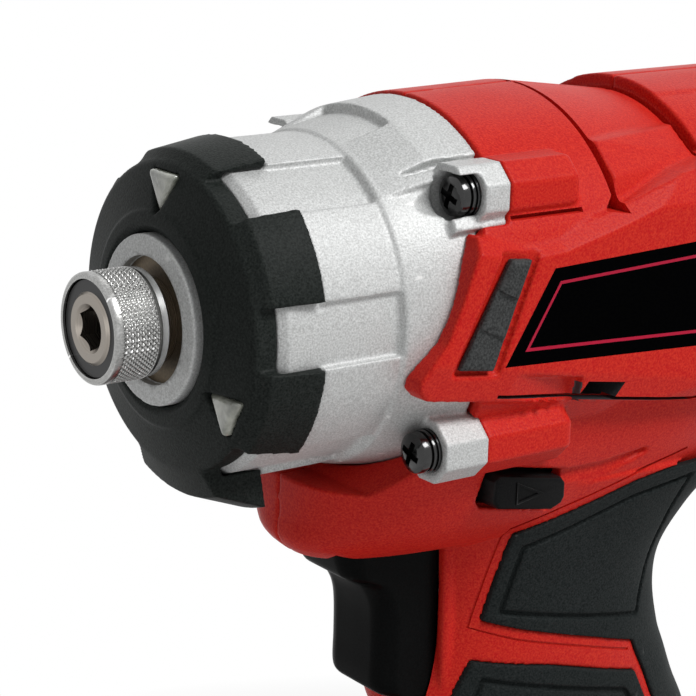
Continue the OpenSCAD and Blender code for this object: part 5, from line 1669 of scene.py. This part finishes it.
@dataclass
class Controls:
    """Trigger and direction selector."""

    selector_x: float = 72.2
    selector_z: float = -32.9
    selector_len: float = 16.0
    selector_h: float = 6.0
    reach: float = 26.5
    trigger_half: float = 9.0
    trigger_round: float = 4.5
    trigger_front: tuple[Flat, ...] = (
        (46.1, -43.1), (46.1, -46.1), (47.7, -50), (51.4, -52), (53.2, -54.2), (54.2, -56.8), (54.6, -60.3),
        (54.7, -66), (54.7, -71.4), (55.9, -73.6), (58.6, -74.8), (62.6, -75.3),
    )

    def trigger(self, paint: Paint) -> None:
        """Finger trigger with a round front, a hollow back and its stem."""
        rear = [(65.1, -75.3), (66.6, -73.3), (66.6, -43.1)]
        rings = []
        for k in range(-14, 15):
            t = 0.97 * math.sin(math.radians(90 * abs(k) / 14))
            back = self.trigger_round * (1 - math.sqrt(1 - t * t))
            y = math.copysign(self.trigger_half - self.trigger_round * (0.97 - t), k) if k else 0.0
            front = [(x + back, y, z) for x, z in flowing(self.trigger_front, 5)]
            rings.append(front + [(x, y, z) for x, z in rear])
        trigger = skin("trigger_moulded", rings)
        combine(trigger, Join.CUT, block("hollow", (58, -6.8, -70.8), (90, 6.8, -50.6)))
        moulded(trigger, voxel=0.34, rounds=3, most=80000)
        combine(trigger, Join.ADD, bar("stem", (57, 0, -60.7), (84.5, 0, -60.7), 2.8, 40))
        paint.dress(trigger, "trigger_black")
        ship(trigger, Body.TRIGGER, "trigger_black", "trigger")

    def selector(self, paint: Paint) -> None:
        """Slide with rounded ends and a raised triangle on each."""
        x, z, half, up = self.selector_x, self.selector_z, self.selector_len / 2, self.selector_h / 2
        sides = [
            (-half, -up + 1.2), (-half + 1.2, -up), (half - 3, -up), (half - 0.7, -up + 1.2),
            (half, -up + 2.4), (half, up - 1), (half - 1, up), (-half + 1.2, up), (-half, up - 1.2),
        ]
        outline = [(x + a, z + b - 0.18 * a) for a, b in sides]
        tab = prism("direction_selector_moulded", outline, -self.reach + 0.25, self.reach - 0.25, Along.Y)
        bevelled(tab, width=0.5, segments=3, angle=60)
        combine(tab, Join.ADD, block("fork", (x + 4, -2.5, -42.7), (x + 7.9, 2.5, z)))
        mark = [(x - 3.2, z - 1.5), (x - 3.2, z + 2.5), (x + 3.0, z - 0.4)]
        for side in (-1, 1):
            y0, y1 = sorted((side * (self.reach - 1), side * self.reach))
            ring = prism("mark", mark, y0, y1, Along.Y)
            combine(ring, Join.CUT, prism("hollow", inset(mark, 0.42), y0 - 1, y1 + 1, Along.Y))
            combine(tab, Join.ADD, ring)
        shaded(tab, degrees=40)
        paint.dress(tab, "selector_black")
        ship(tab, Body.SELECTOR, "selector_black", "direction_selector")

    def build(self, paint: Paint) -> None:
        """Models both controls."""
        self.trigger(paint)
        self.selector(paint)


@dataclass
class BatteryPack:
    """Slide-on battery with its release button."""

    half_w: float = 37.0
    groove_x: float = 60.0
    groove_pitch: float = 5.0
    groove_count: int = 5
    groove_low: float = -166.0
    groove_high: float = -156.0
    groove_r: float = 1.5
    groove_out: float = 0.7

    def build(self, paint: Paint) -> None:
        """Rounds the cases, adds finger grooves and dresses all pieces."""
        upper = cad_copy("battery_upper_moulded", "battery_upper_case")
        lower = cad_copy("battery_lower_moulded", "battery_lower_case")
        for side in (-1, 1):
            y = side * (self.half_w + self.groove_out)
            for k in range(self.groove_count):
                x = self.groove_x + self.groove_pitch * k
                low, high = (x, y, self.groove_low), (x, y, self.groove_high)
                combine(upper, Join.CUT, bar("finger_groove", low, high, self.groove_r, 20))
        for piece, solid in ((upper, "battery_upper_case"), (lower, "battery_lower_case")):
            bevelled(piece, width=0.9, segments=3, angle=40)
            paint.dress(piece, "battery_black")
            ship(piece, Body.BATTERY, "battery_black", solid)
        button = cad_copy("battery_button_moulded", "battery_button")
        bevelled(button, width=0.6, segments=3, angle=40)
        paint.dress(button, "button_red")
        ship(button, Body.BUTTON, "button_red", "battery_button")


@dataclass
class Works:
    """Inner solids that stay as they are and only get their finish."""

    finishes: dict[str, str] = field(default_factory=lambda: {
        "led_board": "board_green", "collar_retainer": "ring_black", "bit_balls": "ball_steel",
        "anvil": "anvil_bronze_grey", "anvil_bush": "bush_bronze", "hammer": "hammer_steel",
        "cam_shaft": "gear_steel", "cam_balls": "ball_steel", "planet_gear_a": "gear_steel",
        "planet_gear_b": "gear_steel", "planet_pins": "gear_steel", "ring_gear": "gear_steel",
        "gearbox_plate": "inner_plastic", "motor_pinion": "gear_steel", "motor_rotor": "rotor_copper",
        "motor_fan": "fan_plastic", "motor_can": "can_steel", "motor_magnets": "magnet_dark",
        "motor_end_cap": "inner_plastic", "carbon_brushes": "carbon", "trigger_switch": "inner_plastic",
        "housing_screws": "screw_black", "terminal_block": "inner_plastic", "battery_leads": "lead_red",
        "motor_leads": "lead_red", "battery_cells": "cell_wrap",
    })

    def build(self, paint: Paint) -> None:
        """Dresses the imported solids."""
        for name, finish in self.finishes.items():
            paint.dress(frame["nodes"][name], finish)
            LOG.info("%s: %s", name, finish)


@dataclass
class Springs:
    """Coil springs, copied from the packed ones onto their joints' bodies."""

    finish: str = "spring_steel"

    def coil(self, paint: Paint, joint: dict, row: dict) -> None:
        """Copies one packed spring onto the body of its joint.

        Args:
            paint: Materials.
            joint: Joint whose parent body carries the spring.
            row: The record's entry for the spring.
        """
        name = row["node"]
        letter = row["mode"][-1]
        along = "xyz".index(letter)
        axis = Vector((0, 0, 0))
        axis[along] = 1
        spring = cad_copy(f"{name}_coil", name)
        paint.dress(spring, self.finish)
        slots = {part["node"]: part["material_slot"] for part in frame["record"]["subparts"]}
        ship(spring, Body(joint["parent"]), slots[name], name)
        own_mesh(spring)

    def build(self, paint: Paint) -> None:
        """Makes the spring of each joint that has one."""
        for joint in frame["record"]["behaviour"]["joints"]:
            for row in joint.get("deforming_nodes", []):
                self.coil(paint, joint, row)


def main() -> None:
    """Builds the scene in order."""
    logging.basicConfig(level=logging.INFO, format="%(message)s")
    Studio().build()
    paint = Paint()
    bosses = Bosses()
    Works().build(paint)
    Springs().build(paint)
    HammerCase(bosses).build(paint)
    NoseBumper().build(paint)
    BitCollar().build(paint)
    CaseScrews(bosses).build(paint)
    Housing(bosses).build(paint)
    Grips().build(paint)
    SideTrim().build(paint)
    Controls().build(paint)
    BatteryPack().build(paint)
    deselect()


if __name__ == "__main__":
    main()
